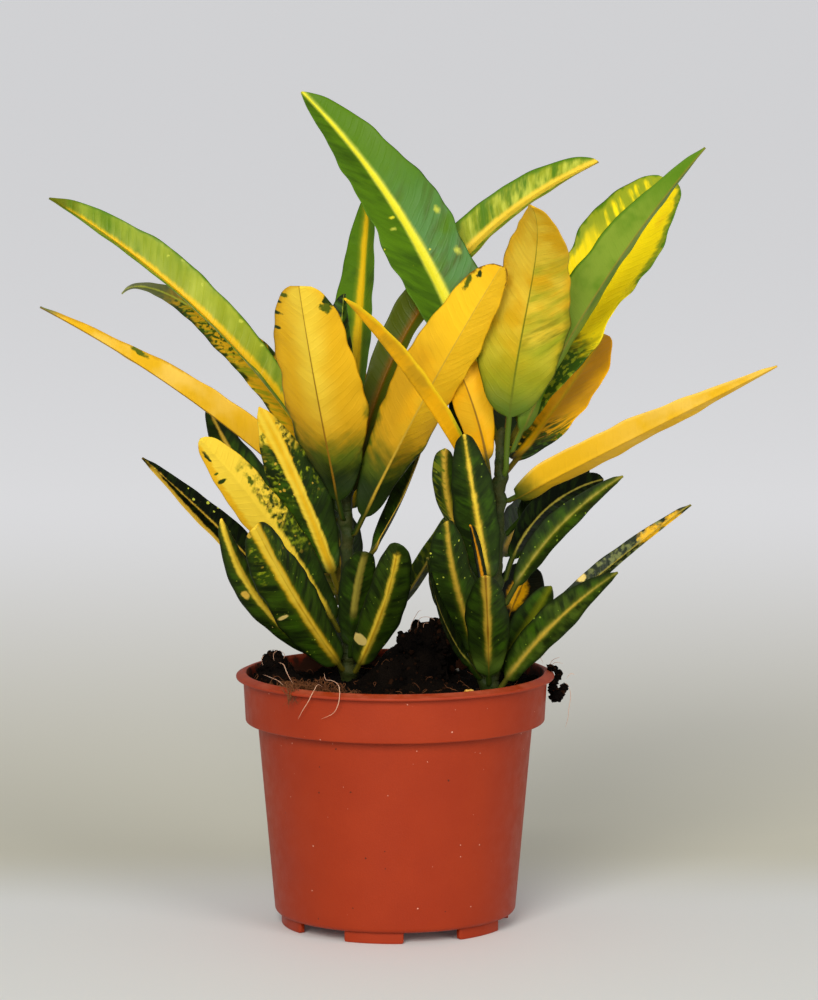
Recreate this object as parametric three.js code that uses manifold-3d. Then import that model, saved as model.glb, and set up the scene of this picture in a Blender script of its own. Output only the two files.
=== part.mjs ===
// Potted croton: two leafy stems in a terracotta-coloured plastic pot. Millimetres, +Z up, front towards -Y.
import * as THREE from "three";
import Module from "manifold-3d";

// Pot: a thin-walled tapered cup with a stepped-out band, a flared lip and six feet under its edge.
const WALL = 1.2;
const FOOT_HEIGHT = 4.4;
const FOOT_RADIUS = 44;
const FOOT_DEPTH = 2.5;
const FOOT_COUNT = 6;
const FOOT_ARC = 30.5;
const FIRST_FOOT = -101;
const FOOT_SINK = 0.8;
const FOOT_SEGMENTS = 6;
const BASE_RADIUS = 46.3;
const BASE_CORNER = 2;
const CORNER_SLANT = [0.3, 0.4];
const BODY_TOP_RADIUS = 52.9;
const STEP_HEIGHT = 78.6;
const BAND_LOW_RADIUS = 57.5;
const BAND_TOP_RADIUS = 58.4;
const BAND_CORNER = 0.8;
const LIP_RADIUS = 61.1;
const LIP_LOW = 95.3;
const LIP_DROP = 1.2;
const LIP_ROUND = 0.4;
const RIM_HEIGHT = 97.5;
const POT_SECTORS = 60;

// Soil: fills the pot to a little under the lip, with a low heap along the rim and one standing clod.
const GAP = 0.3;
const SOIL_LEVEL = 90.5;
const SOIL_SECTORS = 48;
const SOIL_RINGS = [0.12, 0.26, 0.4, 0.53, 0.66, 0.78, 0.89];
const RIPPLE = 0.7;
// waves of the ripple in radians a millimetre: across, along, and the two of the slanting one
const RIPPLE_WAVES = [0.55, 0.47, 0.31, -0.62];
const SINK = 12;
const BORE_SIDES = 16;
// each heap: x, y, height, spread; the last two are the dips that the stems stand in
const HEAPS = [
  [-45.5, 6, 14, 5.5],
  [-30, -36, 4, 9],
  [0, 15, 12, 6],
  [10, 12, 5, 11],
  [38, 30, 3, 10],
  [48, -14, 3, 6],
  [51, 12, 4, 5],
  [35, -2, -3, 11],
  [-18, 24, -2, 9],
];
const CLOD_CENTRE = [12, 13, 98];
const CLOD_SIZE = [9.5, 8, 15];
const CLOD_DETAIL = 3;
const LUMP_DETAIL = 1;
const LUMPINESS = 0.14;
// a lump's surface: the first wave times the second, plus a share of the third; radians for x, y, z
const LUMP_WAVES = [
  [5, 0, 3],
  [-2, 4, 0],
  [0, 4, 7],
];
const THIRD_SHARE = 0.6;
// the clump that hangs over the rim on the right: x, y, z, radius of each lump
const RIM_LUMPS = [
  [59.8, 3, 98.1, 1.1],
  [61.5, 3, 97.8, 1.2],
  [62.9, 3, 96.3, 1.2],
  [62.6, 3, 94.6, 1.3],
  [61.2, 3, 92.8, 1.7],
  [60.7, 3, 90, 1.8],
  [62, 3, 87.6, 2.6],
  [64, 3, 89, 1.5],
  [65.2, 3, 90.6, 1.3],
];

// Stems: straight and slightly tapered; each leans a little. foot and top are points on the axis.
const STEMS = {
  left: { foot: [-18, 27, 90], top: [-19, 22, 170], radius: 3.2 },
  right: { foot: [36, 2, 89], top: [41, 2, 189], radius: 3.4 },
};
const STEM_TAPER = 0.35;
const STEM_SIDES = 16;
const STEM_RINGS = 8;
const BUD_HEIGHT = 2;

// Leaves: a round petiole that opens into a blade folded along its midrib.
const PETIOLE_HALF_WIDTH = 1.1;
const PETIOLE_THICKNESS = 2;
const BLADE_THICKNESS = 0.7;
const TIP_HALF_WIDTH = 0.55;
const MIDRIB_KEEL = 0.5;
const KEEL_FADE = 0.6;
const OPENING = 0.12;
const CUP = 1.2;
const WAVES = 2.5;
const WAVE_FADE = 0.7;
const ROOT_CLEARANCE = 0.5;
const RUN_STEPS = 48;
const ROWS = [0, 0, 0.07, 0.18, 0.31, 0.45, 0.59, 0.72, 0.83, 0.93, 1];
const COLUMNS = [-1, -0.5, 0, 0.5, 1];

// One leaf a line, the highest first: height of its root on the stem, heading and rise of the root in
// degrees, how far the heading swings and the rise drops by the tip, length, width, where it is widest in
// per cent, roundness of base and tip, petiole length, roll about the midrib, fold of each half, margin wave.
const LEAVES = {
  left: [
    [168, 81, 63, 3, -5, 127, 21, 50, 0.6, 0.8, 10, -32, 24, 0, "lime"],
    [166, 138, 93, -102, -11, 75, 15, 50, 0.6, 0.5, 10, 3, 25, 0, "dark"],
    [164, 27, 82, -10, -62, 171, 21, 66, 0.6, 0.51, 10, 34, 35, 0, "lime"],
    [162, -167, 64, -39, -38, 166, 22, 62, 0.6, 0.86, 10, -36, 44, 0, "lime"],
    [159, 91, 45, 11, -6, 94, 27, 50, 0.6, 0.6, 10, -9, 22, 0, "gold"],
    [156, 170, 76, -64, -92, 176, 20, 22, 0.6, 2.2, 10, -58, 35, 0, "lime"],
    [153, -113, 64, 13, -9, 110, 35, 45, 0.6, 0.42, 10, -1, 20, 0, "gold"],
    [152, 178, 45, 22, -17, 144, 21, 22, 0.6, 1.4, 10, 33, 32, 0, "gold"],
    [150, 86, 44, -25, -16, 84, 24, 50, 0.6, 0.6, 10, 28, 22, 0, "lime"],
    [147, -44, 58, -2, -8, 134, 29, 50, 0.6, 0.45, 10, -35, 28, 0, "gold"],
    [141, 166, 25, -16, 40, 80, 16, 50, 0.6, 0.8, 10, -66, 25, 0, "dark"],
    [132, 16, 51, 26, 20, 63, 12, 45, 0.6, 1, 10, 0, 30, 0, "dark"],
    [124, -136, 66, 0, -10, 87, 22, 40, 0.6, 0.9, 10, 60, 20, 0, "dark"],
    [119, 145, 83, -18, -38, 20, 9, 50, 0.6, 0.6, 4, -44, 20, 0, "lime"],
    [114, 92, 40, 18, -12, 67, 22, 50, 0.6, 0.6, 10, -18, 22, 0, "dark"],
    [109, -140, 57, -1, -14, 105, 18, 55, 0.42, 0.5, 6, 64, 18, 0, "lime"],
    [104, -4, 41, -6, 30, 63, 14, 50, 0.6, 0.8, 10, -28, 8, 0, "dark"],
    [101, -174, 49, 0, -7, 108, 13, 50, 0.6, 1.1, 10, -71, 30, 0, "dark"],
    [99, -82, 72, 11, -23, 52, 15, 50, 0.42, 0.5, 6, -18, 20, 0, "dark"],
    [97, -147, 24, 33, 38, 93, 12, 50, 0.42, 0.8, 6, 62, 22, 0, "dark"],
    [96, 109, 25, 4, -8, 58, 20, 50, 0.6, 0.6, 10, -38, 22, 0, "dark"],
    [94, -119, 39, 9, 2, 101, 22, 50, 0.42, 0.42, 6, 59, 22, 0, "dark"],
    [93, -59, 48, -24, -2, 78, 17, 50, 0.42, 0.5, 6, -30, 20, 0, "dark"],
  ],
  right: [
    [187, 128, 66, 25, -25, 164, 34, 50, 0.6, 0.75, 10, -34, 24, 1.2, "lime"],
    [184, 41, 55, -6, -9, 129, 36, 66, 0.6, 0.4, 10, 31, 22, 1.5, "gold"],
    [181, -8, 67, 2, -18, 139, 25, 42, 0.6, 1, 10, -41, 32, 0, "lime"],
    [178, 84, 33, -3, -2, 105, 28, 50, 0.6, 0.6, 10, 12, 22, 0, "gold"],
    [173, 58, 28, -17, 21, 81, 34, 46, 0.6, 0.47, 10, -2, 5, 0, "gold"],
    [172, -54, 91, -47, -75, 144, 34, 22, 0.6, 0.88, 24, -29, 20, 0, "gold"],
    [169, -165, 85, -49, -26, 61, 16, 50, 0.6, 0.6, 10, 95, 20, 0, "gold"],
    [166, 157, 72, -10, -10, 41, 12, 50, 0.6, 0.8, 10, -62, 25, 0, "dark"],
    [163, -14, 28, -6, -1, 118, 18, 25, 0.3, 1.2, 4, -40, 18, 0, "gold"],
    [159, -133, 54, 17, -25, 133, 13, 50, 0.6, 0.9, 10, -8, 33, 0, "gold"],
    [149, 39, 37, 0, -14, 50, 17, 45, 0.6, 0.8, 10, 62, 15, 0, "dark"],
    [138, 78, 17, -7, -10, 82, 18, 50, 0.6, 0.7, 10, 40, 22, 0, "dark"],
    [134, -164, 50, 81, 26, 58, 13, 55, 0.6, 0.5, 10, 8, 28, 0, "dark"],
    [131, 22, 78, -11, -67, 59, 15, 50, 0.6, 0.5, 10, 84, 28, 0, "dark"],
    [128, -116, 71, 12, -13, 71, 18, 40, 0.42, 0.6, 6, 25, 22, 0, "dark"],
    [122, -13, 65, 2, -33, 70, 12, 40, 0.6, 1.1, 10, 72, 24, 0, "dark"],
    [118, 91, 33, 21, -12, 65, 17, 50, 0.6, 0.7, 10, -26, 22, 0, "dark"],
    [114, -109, 73, 1, -23, 49, 7, 50, 0.6, 0.8, 6, -99, 10, 0, "gold"],
    [108, 93, 12, 7, 0, 104, 19, 50, 0.6, 0.7, 10, -8, 22, 0, "dark"],
    [105, 64, 44, 6, -15, 47, 20, 50, 0.42, 0.5, 6, 28, 15, 0, "dark"],
    [101, -127, 55, 32, 0, 72, 19, 50, 0.42, 0.5, 6, 42, 22, 0, "dark"],
    [100, 11, 43, 1, -9, 96, 9, 45, 0.6, 1, 10, 36, 30, 0, "dark"],
    [97, -17, 60, -15, -2, 40, 14, 50, 0.42, 0.6, 6, 97, 22, 0, "dark"],
    [96, -180, 66, 0, 21, 30, 10, 50, 0.6, 0.7, 10, -89, 15, 0, "dark"],
    [94, -136, 44, 40, 8, 71, 11, 50, 0.6, 0.9, 10, -76, 8, 0, "dark"],
    [92, -92, 55, -2, -15, 66, 18, 42, 0.42, 0.7, 6, 4, 20, 0, "dark"],
    [90, -33, 54, 1, -21, 72, 15, 45, 0.42, 1, 6, 87, 24, 0, "dark"],
  ],
};

const wasm = await Module();
wasm.setup();

const rad = THREE.MathUtils.degToRad;
const { clamp, smoothstep } = THREE.MathUtils;

// A closed mesh from its corners and triangles.
function meshGeometry(positions, triangles) {
  const geometry = new THREE.BufferGeometry();
  geometry.setAttribute("position", new THREE.Float32BufferAttribute(positions, 3));
  geometry.setIndex(triangles);
  return geometry;
}

// Geometry to a manifold-3d solid: corners in the same place become one corner.
function toSolid(geometry) {
  const position = geometry.getAttribute("position");
  const order = geometry.index ? geometry.index.array : [...Array(position.count).keys()];
  const seen = new Map();
  const corners = [];
  const triVerts = [];
  for (let i = 0; i < order.length; i += 3) {
    const three = [0, 1, 2].map((k) => {
      const p = new THREE.Vector3().fromBufferAttribute(position, order[i + k]);
      const key = p.toArray().map((value) => Math.round(value * 1e3)).join();
      if (!seen.has(key)) {
        seen.set(key, corners.length / 3);
        corners.push(p.x, p.y, p.z);
      }
      return seen.get(key);
    });
    if (new Set(three).size === 3) triVerts.push(...three);
  }
  const vertProperties = new Float32Array(corners);
  return new wasm.Manifold(
    new wasm.Mesh({ numProp: 3, vertProperties, triVerts: new Uint32Array(triVerts) }),
  );
}

function toGeometry(solid) {
  const { vertProperties, triVerts } = solid.getMesh();
  return meshGeometry(vertProperties, [...triVerts]);
}

const joined = (geometries) => toGeometry(wasm.Manifold.union(geometries.map(toSolid)));

// A profile of [radius, height] pairs turned about +Z.
function turned(profile, sectors) {
  const points = profile.map(([r, z]) => new THREE.Vector2(r, z));
  return new THREE.LatheGeometry(points, sectors).rotateX(Math.PI / 2);
}

// Inner radius of the pot's wall at a height.
function innerRadius(z) {
  if (z > STEP_HEIGHT + WALL) return BAND_LOW_RADIUS - WALL;
  const share = (z - FOOT_HEIGHT) / (STEP_HEIGHT - FOOT_HEIGHT);
  return BASE_RADIUS + (BODY_TOP_RADIUS - BASE_RADIUS) * share - WALL;
}

function potGeometry() {
  const floor = FOOT_HEIGHT + WALL;
  const shelf = STEP_HEIGHT + WALL;
  const cup = turned(
    [
      [0, FOOT_HEIGHT],
      [BASE_RADIUS - BASE_CORNER, FOOT_HEIGHT],
      [BASE_RADIUS - BASE_CORNER * CORNER_SLANT[0], FOOT_HEIGHT + BASE_CORNER * CORNER_SLANT[1]],
      [BASE_RADIUS, FOOT_HEIGHT + BASE_CORNER],
      [BODY_TOP_RADIUS, STEP_HEIGHT - BAND_CORNER],
      [BODY_TOP_RADIUS + BAND_CORNER, STEP_HEIGHT],
      [BAND_LOW_RADIUS - BAND_CORNER, STEP_HEIGHT],
      [BAND_LOW_RADIUS, STEP_HEIGHT + BAND_CORNER],
      [BAND_TOP_RADIUS, LIP_LOW - BAND_CORNER],
      [BAND_TOP_RADIUS + BAND_CORNER, LIP_LOW],
      [LIP_RADIUS - LIP_ROUND, LIP_LOW],
      [LIP_RADIUS, LIP_LOW + LIP_ROUND],
      [LIP_RADIUS, RIM_HEIGHT - LIP_DROP - LIP_ROUND],
      [LIP_RADIUS - LIP_ROUND, RIM_HEIGHT - LIP_DROP],
      [BAND_TOP_RADIUS, RIM_HEIGHT],
      [BAND_TOP_RADIUS - WALL + LIP_ROUND, RIM_HEIGHT],
      [BAND_TOP_RADIUS - WALL, RIM_HEIGHT - LIP_ROUND],
      [innerRadius(RIM_HEIGHT), shelf],
      [innerRadius(STEP_HEIGHT), shelf],
      [innerRadius(floor), floor],
      [0, floor],
    ],
    POT_SECTORS,
  );
  const feet = Array.from({ length: FOOT_COUNT }, (_, i) => {
    const middle = FIRST_FOOT + (i * 360) / FOOT_COUNT;
    const start = rad(middle - FOOT_ARC / 2);
    const end = rad(middle + FOOT_ARC / 2);
    const outline = new THREE.Shape();
    outline.absarc(0, 0, FOOT_RADIUS, start, end, false);
    outline.absarc(0, 0, FOOT_RADIUS - FOOT_DEPTH, end, start, true);
    return new THREE.ExtrudeGeometry(outline, {
      depth: FOOT_HEIGHT + FOOT_SINK,
      bevelEnabled: false,
      curveSegments: FOOT_SEGMENTS,
    });
  });
  return joined([cup, ...feet]);
}

// Height of the soil: the level, plus a bell-shaped rise for each heap, plus crossed ripples.
function soilHeight(x, y) {
  const heaps = HEAPS.reduce((sum, [hx, hy, height, spread]) => {
    return sum + height * Math.exp(-((x - hx) ** 2 + (y - hy) ** 2) / (2 * spread ** 2));
  }, 0);
  const [across, back, slantX, slantY] = RIPPLE_WAVES;
  const ripple = Math.sin(x * across + 1) * Math.cos(y * back) + Math.sin(x * slantX + y * slantY + 2);
  return SOIL_LEVEL + heaps + RIPPLE * ripple;
}

function soilBody() {
  const rim = innerRadius(RIM_HEIGHT) - GAP;
  const shelf = STEP_HEIGHT + WALL + GAP;
  const floor = FOOT_HEIGHT + WALL + GAP;
  const positions = [0, 0, soilHeight(0, 0)];
  const ring = (radius, heightAt) => {
    for (let k = 0; k < SOIL_SECTORS; k++) {
      const angle = (k / SOIL_SECTORS) * 2 * Math.PI;
      const x = radius * Math.cos(angle);
      const y = radius * Math.sin(angle);
      positions.push(x, y, heightAt(x, y));
    }
  };
  SOIL_RINGS.forEach((share) => ring(rim * share, soilHeight));
  ring(rim, soilHeight);
  ring(rim, () => shelf);
  ring(innerRadius(STEP_HEIGHT) - GAP, () => shelf);
  ring(innerRadius(floor) - GAP, () => floor);
  const rings = SOIL_RINGS.length + 4;
  const last = 1 + rings * SOIL_SECTORS;
  positions.push(0, 0, floor);
  const triangles = [];
  for (let k = 0; k < SOIL_SECTORS; k++) {
    const next = (k + 1) % SOIL_SECTORS;
    triangles.push(0, 1 + k, 1 + next);
    for (let r = 0; r < rings - 1; r++) {
      const a = 1 + r * SOIL_SECTORS + k;
      const b = 1 + r * SOIL_SECTORS + next;
      triangles.push(a, a + SOIL_SECTORS, b);
      triangles.push(b, a + SOIL_SECTORS, b + SOIL_SECTORS);
    }
    const low = 1 + (rings - 1) * SOIL_SECTORS;
    triangles.push(low + next, low + k, last);
  }
  return meshGeometry(positions, triangles);
}

// A ball whose surface moves in and out by crossed waves, stretched to its size.
function lump(centre, size, detail) {
  const ball = new THREE.IcosahedronGeometry(1, detail);
  const position = ball.getAttribute("position");
  const [first, second, third] = LUMP_WAVES.map((wave) => new THREE.Vector3(...wave));
  const p = new THREE.Vector3();
  for (let i = 0; i < position.count; i++) {
    p.fromBufferAttribute(position, i).normalize();
    const crossed = Math.sin(first.dot(p) + centre[2]) * Math.cos(second.dot(p));
    p.multiplyScalar(1 + LUMPINESS * (crossed + THIRD_SHARE * Math.sin(third.dot(p) + centre[0])));
    position.setXYZ(i, p.x * size[0] + centre[0], p.y * size[1] + centre[1], p.z * size[2] + centre[2]);
  }
  return ball;
}

const upright = new THREE.Vector3(0, 0, 1);

// A point on a stem's axis at a height.
function stemPoint(stem, z) {
  const share = (z - stem.foot[2]) / (stem.top[2] - stem.foot[2]);
  return new THREE.Vector3(...stem.foot).lerp(new THREE.Vector3(...stem.top), share);
}

function stemRadius(stem, z) {
  const share = clamp((z - stem.foot[2]) / (stem.top[2] - stem.foot[2]), 0, 1);
  return stem.radius * (1 - STEM_TAPER * share);
}

// A stem's rings lie level, one above the other along its leaning axis, and a low bud closes the top.
function stemGeometry(stem) {
  const foot = stem.foot[2] - SINK + GAP;
  const positions = [];
  for (let r = 0; r <= STEM_RINGS; r++) {
    const z = foot + ((stem.top[2] - foot) * r) / STEM_RINGS;
    const centre = stemPoint(stem, z);
    for (let k = 0; k < STEM_SIDES; k++) {
      const angle = (k / STEM_SIDES) * 2 * Math.PI;
      const radius = stemRadius(stem, z);
      positions.push(centre.x + radius * Math.cos(angle), centre.y + radius * Math.sin(angle), z);
    }
  }
  const low = positions.length / 3;
  positions.push(...stemPoint(stem, foot).toArray());
  positions.push(...stemPoint(stem, stem.top[2] + BUD_HEIGHT).toArray());
  const triangles = [];
  for (let k = 0; k < STEM_SIDES; k++) {
    const next = (k + 1) % STEM_SIDES;
    triangles.push(low, next, k);
    for (let r = 0; r < STEM_RINGS; r++) {
      const a = r * STEM_SIDES + k;
      const b = r * STEM_SIDES + next;
      triangles.push(a, b, b + STEM_SIDES);
      triangles.push(a, b + STEM_SIDES, a + STEM_SIDES);
    }
    triangles.push(STEM_RINGS * STEM_SIDES + k, STEM_RINGS * STEM_SIDES + next, low + 1);
  }
  return meshGeometry(positions, triangles);
}

// The hole a stem stands in: the stem's foot, wider by the gap.
function stemHole(stem) {
  const top = stem.foot[2] + 2 * SINK;
  const bottom = stem.foot[2] - SINK;
  const low = stemPoint(stem, bottom);
  const high = stemPoint(stem, top);
  const radius = stem.radius + GAP;
  const lean = new THREE.Quaternion().setFromUnitVectors(upright, high.clone().sub(low).normalize());
  return new THREE.CylinderGeometry(radius, radius, high.distanceTo(low), BORE_SIDES)
    .rotateX(Math.PI / 2)
    .applyQuaternion(lean)
    .translate(...low.clone().lerp(high, 0.5).toArray());
}

function soilGeometry() {
  const clod = lump(CLOD_CENTRE, CLOD_SIZE, CLOD_DETAIL);
  const heaped = wasm.Manifold.union([toSolid(soilBody()), toSolid(clod)]);
  const holes = Object.values(STEMS).map((stem) => toSolid(stemHole(stem)));
  return toGeometry(heaped.subtract(wasm.Manifold.union(holes)));
}

const rimClumpGeometry = () =>
  joined(RIM_LUMPS.map(([x, y, z, r]) => lump([x, y, z], [r, r, r], LUMP_DETAIL)));

// Unit vector for a heading and a rise in degrees.
function direction(heading, rise) {
  const a = rad(heading);
  const e = rad(rise);
  return new THREE.Vector3(Math.cos(e) * Math.cos(a), Math.cos(e) * Math.sin(a), Math.sin(e));
}

// Half width along the blade: a sine up to its widest place, a cosine from there to the tip.
function outline(leaf, u) {
  const full = leaf.width / 2 - PETIOLE_HALF_WIDTH;
  if (u >= 1) return TIP_HALF_WIDTH;
  const share =
    u < leaf.widest
      ? Math.sin((Math.PI / 2) * (u / leaf.widest)) ** leaf.base
      : Math.cos((Math.PI / 2) * ((u - leaf.widest) / (1 - leaf.widest))) ** leaf.tip;
  return PETIOLE_HALF_WIDTH + full * share;
}

// The midrib starts beside the stem and turns evenly from its first heading and rise to its last.
function midrib(leaf, stem) {
  const steep = Math.abs(Math.sin(rad(leaf.rise)));
  const offset = stemRadius(stem, leaf.height) + ROOT_CLEARANCE + (PETIOLE_THICKNESS / 2) * steep;
  const path = [stemPoint(stem, leaf.height).addScaledVector(direction(leaf.heading, 0), offset)];
  for (let i = 0; i < RUN_STEPS; i++) {
    const share = (i + 0.5) / RUN_STEPS;
    const step = direction(leaf.heading + leaf.swing * share, leaf.rise + leaf.droop * share);
    path.push(path[i].clone().addScaledVector(step, leaf.length / RUN_STEPS));
  }
  return (share) => {
    const place = share * RUN_STEPS;
    const low = Math.min(Math.floor(place), RUN_STEPS - 1);
    return path[low].clone().lerp(path[low + 1], place - low);
  };
}

// Upper and lower skins of a leaf on a grid of rows along it and columns across it.
function leafGeometry(leaf, stem) {
  const along = midrib(leaf, stem);
  const petiole = leaf.petiole / leaf.length;
  const upper = [];
  const lower = [];
  ROWS.forEach((u, row) => {
    const share = row === 0 ? 0 : petiole + (1 - petiole) * u;
    const heading = leaf.heading + leaf.swing * share;
    const rise = leaf.rise + leaf.droop * share;
    const up = direction(heading, rise + 90);
    const beside = direction(heading - 90, 0);
    const roll = rad(leaf.roll);
    const normal = up.clone().multiplyScalar(Math.cos(roll)).addScaledVector(beside, Math.sin(roll));
    const across = beside.clone().multiplyScalar(Math.cos(roll)).addScaledVector(up, -Math.sin(roll));
    const open = smoothstep(u, 0, OPENING);
    const fold = rad(leaf.fold) * open;
    const half = outline(leaf, u);
    const swell = Math.max(Math.sin(Math.PI * u), 0) ** WAVE_FADE;
    const wave = leaf.wave * Math.sin(2 * Math.PI * WAVES * u) * swell;
    const thick = PETIOLE_THICKNESS + (BLADE_THICKNESS - PETIOLE_THICKNESS) * open;
    COLUMNS.forEach((v) => {
      const lift = half * Math.abs(v) ** CUP * Math.sin(fold) + wave * Math.sign(v) * v * v;
      const middle = along(share)
        .addScaledVector(across, half * v * Math.cos(fold))
        .addScaledVector(normal, lift);
      const out = normal
        .clone()
        .multiplyScalar(Math.cos(fold))
        .addScaledVector(across, -Math.sin(fold) * Math.sign(v));
      const keel = v === 0 ? MIDRIB_KEEL * open * (1 - KEEL_FADE * u) : 0;
      upper.push(...middle.clone().addScaledVector(out, thick / 2).toArray());
      lower.push(...middle.clone().addScaledVector(out, -(thick / 2 + keel)).toArray());
    });
  });
  return meshGeometry([...upper, ...lower], skinTriangles());
}

// The same triangles on both skins, mirrored about the midrib, and a wall round the edge.
function skinTriangles() {
  const columns = COLUMNS.length;
  const rows = ROWS.length;
  const under = rows * columns;
  const triangles = [];
  const face = (a, b, c) => triangles.push(a, b, c, a + under, c + under, b + under);
  const wall = (a, b) => triangles.push(a, b, b + under, a, b + under, a + under);
  for (let i = 0; i < rows - 1; i++) {
    for (let j = 0; j < columns - 1; j++) {
      const a = i * columns + j;
      const [b, c, d] = [a + 1, a + columns, a + columns + 1];
      if (j < (columns - 1) / 2) {
        face(a, b, c);
        face(b, d, c);
      } else {
        face(a, d, c);
        face(a, b, d);
      }
    }
    wall(i * columns, (i + 1) * columns);
    wall((i + 2) * columns - 1, (i + 1) * columns - 1);
  }
  for (let j = 0; j < columns - 1; j++) {
    wall(j + 1, j);
    wall((rows - 1) * columns + j, (rows - 1) * columns + j + 1);
  }
  return triangles;
}

const COLOURS = {
  pot: { color: 0xb0452a, roughness: 0.45 },
  soil: { color: 0x241a14, roughness: 1 },
  stem: { color: 0x4d5a2a, roughness: 0.7 },
  gold: { color: 0xd9a62a, roughness: 0.5 },
  lime: { color: 0x7f9a2c, roughness: 0.45 },
  dark: { color: 0x24401c, roughness: 0.4 },
};

const group = new THREE.Group();

function add(name, geometry, colour) {
  const material = new THREE.MeshStandardMaterial({ ...COLOURS[colour], metalness: 0 });
  const mesh = new THREE.Mesh(geometry, material);
  mesh.name = name;
  group.add(mesh);
}

add("pot", potGeometry(), "pot");
add("soil", soilGeometry(), "soil");
add("rim_clump", rimClumpGeometry(), "soil");
for (const [side, stem] of Object.entries(STEMS)) {
  add(`stem_${side}`, stemGeometry(stem), "stem");
  LEAVES[side].forEach((row, i) => {
    const [height, heading, rise, swing, droop, length, width, widest, ...shape] = row;
    const [base, tip, petiole, roll, fold, wave, colour] = shape;
    const leaf = { height, heading, rise, swing, droop, length, width, base, tip, petiole, roll, fold, wave };
    leaf.widest = widest / 100;
    add(`leaf_${side}_${String(i + 1).padStart(2, "0")}`, leafGeometry(leaf, stem), colour);
  });
}

// The frame's origin is under the middle of the whole plant's box.
const centre = new THREE.Box3().setFromObject(group).getCenter(new THREE.Vector3());
group.children.forEach((mesh) => mesh.geometry.translate(-centre.x, -centre.y, 0));

export default group;
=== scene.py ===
import math
from functools import partial

import bpy
import numpy as np
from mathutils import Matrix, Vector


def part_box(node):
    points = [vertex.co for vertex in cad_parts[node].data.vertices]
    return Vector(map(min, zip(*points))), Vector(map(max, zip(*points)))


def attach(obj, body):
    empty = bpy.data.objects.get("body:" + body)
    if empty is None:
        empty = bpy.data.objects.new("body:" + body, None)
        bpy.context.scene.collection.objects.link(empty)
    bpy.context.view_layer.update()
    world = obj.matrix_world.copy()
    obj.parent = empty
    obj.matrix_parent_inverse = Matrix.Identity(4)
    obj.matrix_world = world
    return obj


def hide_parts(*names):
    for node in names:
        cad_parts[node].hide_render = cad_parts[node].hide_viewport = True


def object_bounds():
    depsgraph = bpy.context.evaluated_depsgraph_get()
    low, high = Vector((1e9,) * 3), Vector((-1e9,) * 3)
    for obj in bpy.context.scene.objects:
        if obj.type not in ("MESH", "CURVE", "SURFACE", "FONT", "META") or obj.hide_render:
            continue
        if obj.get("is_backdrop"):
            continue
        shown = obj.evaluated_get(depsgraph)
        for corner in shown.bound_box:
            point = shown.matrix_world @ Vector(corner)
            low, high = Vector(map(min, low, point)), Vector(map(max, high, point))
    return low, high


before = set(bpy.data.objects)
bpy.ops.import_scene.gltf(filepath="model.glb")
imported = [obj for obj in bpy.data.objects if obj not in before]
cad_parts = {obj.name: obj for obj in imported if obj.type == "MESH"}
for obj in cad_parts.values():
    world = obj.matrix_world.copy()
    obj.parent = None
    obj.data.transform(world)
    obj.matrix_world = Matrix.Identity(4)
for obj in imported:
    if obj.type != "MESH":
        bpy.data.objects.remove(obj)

# Looks of a potted croton: two leafy stems in a terracotta-coloured plastic pot.
# Shapes are worked out in millimetres about the pot's axis, and makePiece puts them into the frame in metres.

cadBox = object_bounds()
mm = 0.001
potLow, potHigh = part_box("pot")
potAxis = np.array([(potLow[0] + potHigh[0]) / 2, (potLow[1] + potHigh[1]) / 2, 0.0])


# a value between 0 and 1 that rises in an S from low to high
def smooth(value, low, high):
    t = np.clip((value - low) / (high - low), 0, 1)
    return t * t * (3 - 2 * t)


# points at a radius, an angle and a height about the z axis
def polar(radius, angle, height):
    return np.stack(np.broadcast_arrays(radius * np.cos(angle), radius * np.sin(angle), height), axis=-1)


# unit vectors for headings and rises in degrees
def direction(heading, rise):
    return polar(np.cos(np.radians(rise)), np.radians(heading), np.sin(np.radians(rise)))


# a number of even turns about the axis, in radians
def turns(count):
    return np.linspace(0, 2 * np.pi, count, endpoint=False)


# sum over triangles of corner . (corner x corner) / 6: positive where the faces point outwards
def signedVolume(points, triangles):
    a, b, c = (points[triangles[:, k]] for k in range(3))
    return np.einsum("ij,ij->", a, np.cross(b, c)) / 6


# rings is tubes x rings x columns x 3; each tube's rings are joined by quads and a fan closes each end
def closedTubes(rings):
    tubes, rows, columns = rings.shape[:3]
    caps = np.stack([rings[:, 0].mean(axis=1), rings[:, -1].mean(axis=1)], axis=1)
    points = np.concatenate([rings.reshape(tubes, -1, 3), caps], axis=1)
    i = np.arange(rows - 1)[:, None]
    j = np.arange(columns)[None, :]
    k = (j + 1) % columns
    here, above = i * columns, (i + 1) * columns
    quads = np.stack([here + j, here + k, above + k, above + j], axis=-1)
    j, k = j[0], k[0]
    last = (rows - 1) * columns
    low = np.stack([k, j, np.full(columns, rows * columns)], axis=-1)
    high = np.stack([last + j, last + k, np.full(columns, rows * columns + 1)], axis=-1)
    offsets = (np.arange(tubes) * points.shape[1])[:, None, None]
    quads = (quads.reshape(1, -1, 4) + offsets).reshape(-1, 4)
    fans = (np.concatenate([low, high])[None] + offsets).reshape(-1, 3)
    return points.reshape(-1, 3), [quads, fans]


# a value on every ring point, with the mean of the end rings on the two cap points of each tube
def withCaps(values):
    tubes = values.shape[0]
    tail = values.shape[3:]
    caps = np.stack([values[:, 0].mean(axis=1), values[:, -1].mean(axis=1)], axis=1)
    return np.concatenate([values.reshape(tubes, -1, *tail), caps], axis=1).reshape(-1, *tail)


# unit directions moved towards a box: each part to the power square
def boxed(p, square):
    return np.sign(p) * np.abs(p) ** square


# several shapes as one: points one after the other, and faces counted on
def joinShapes(shapes):
    starts = np.cumsum([0] + [len(points) for points, _ in shapes])
    points = np.concatenate([points for points, _ in shapes])
    return points, [face + start for (_, faces), start in zip(shapes, starts) for face in faces]


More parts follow.
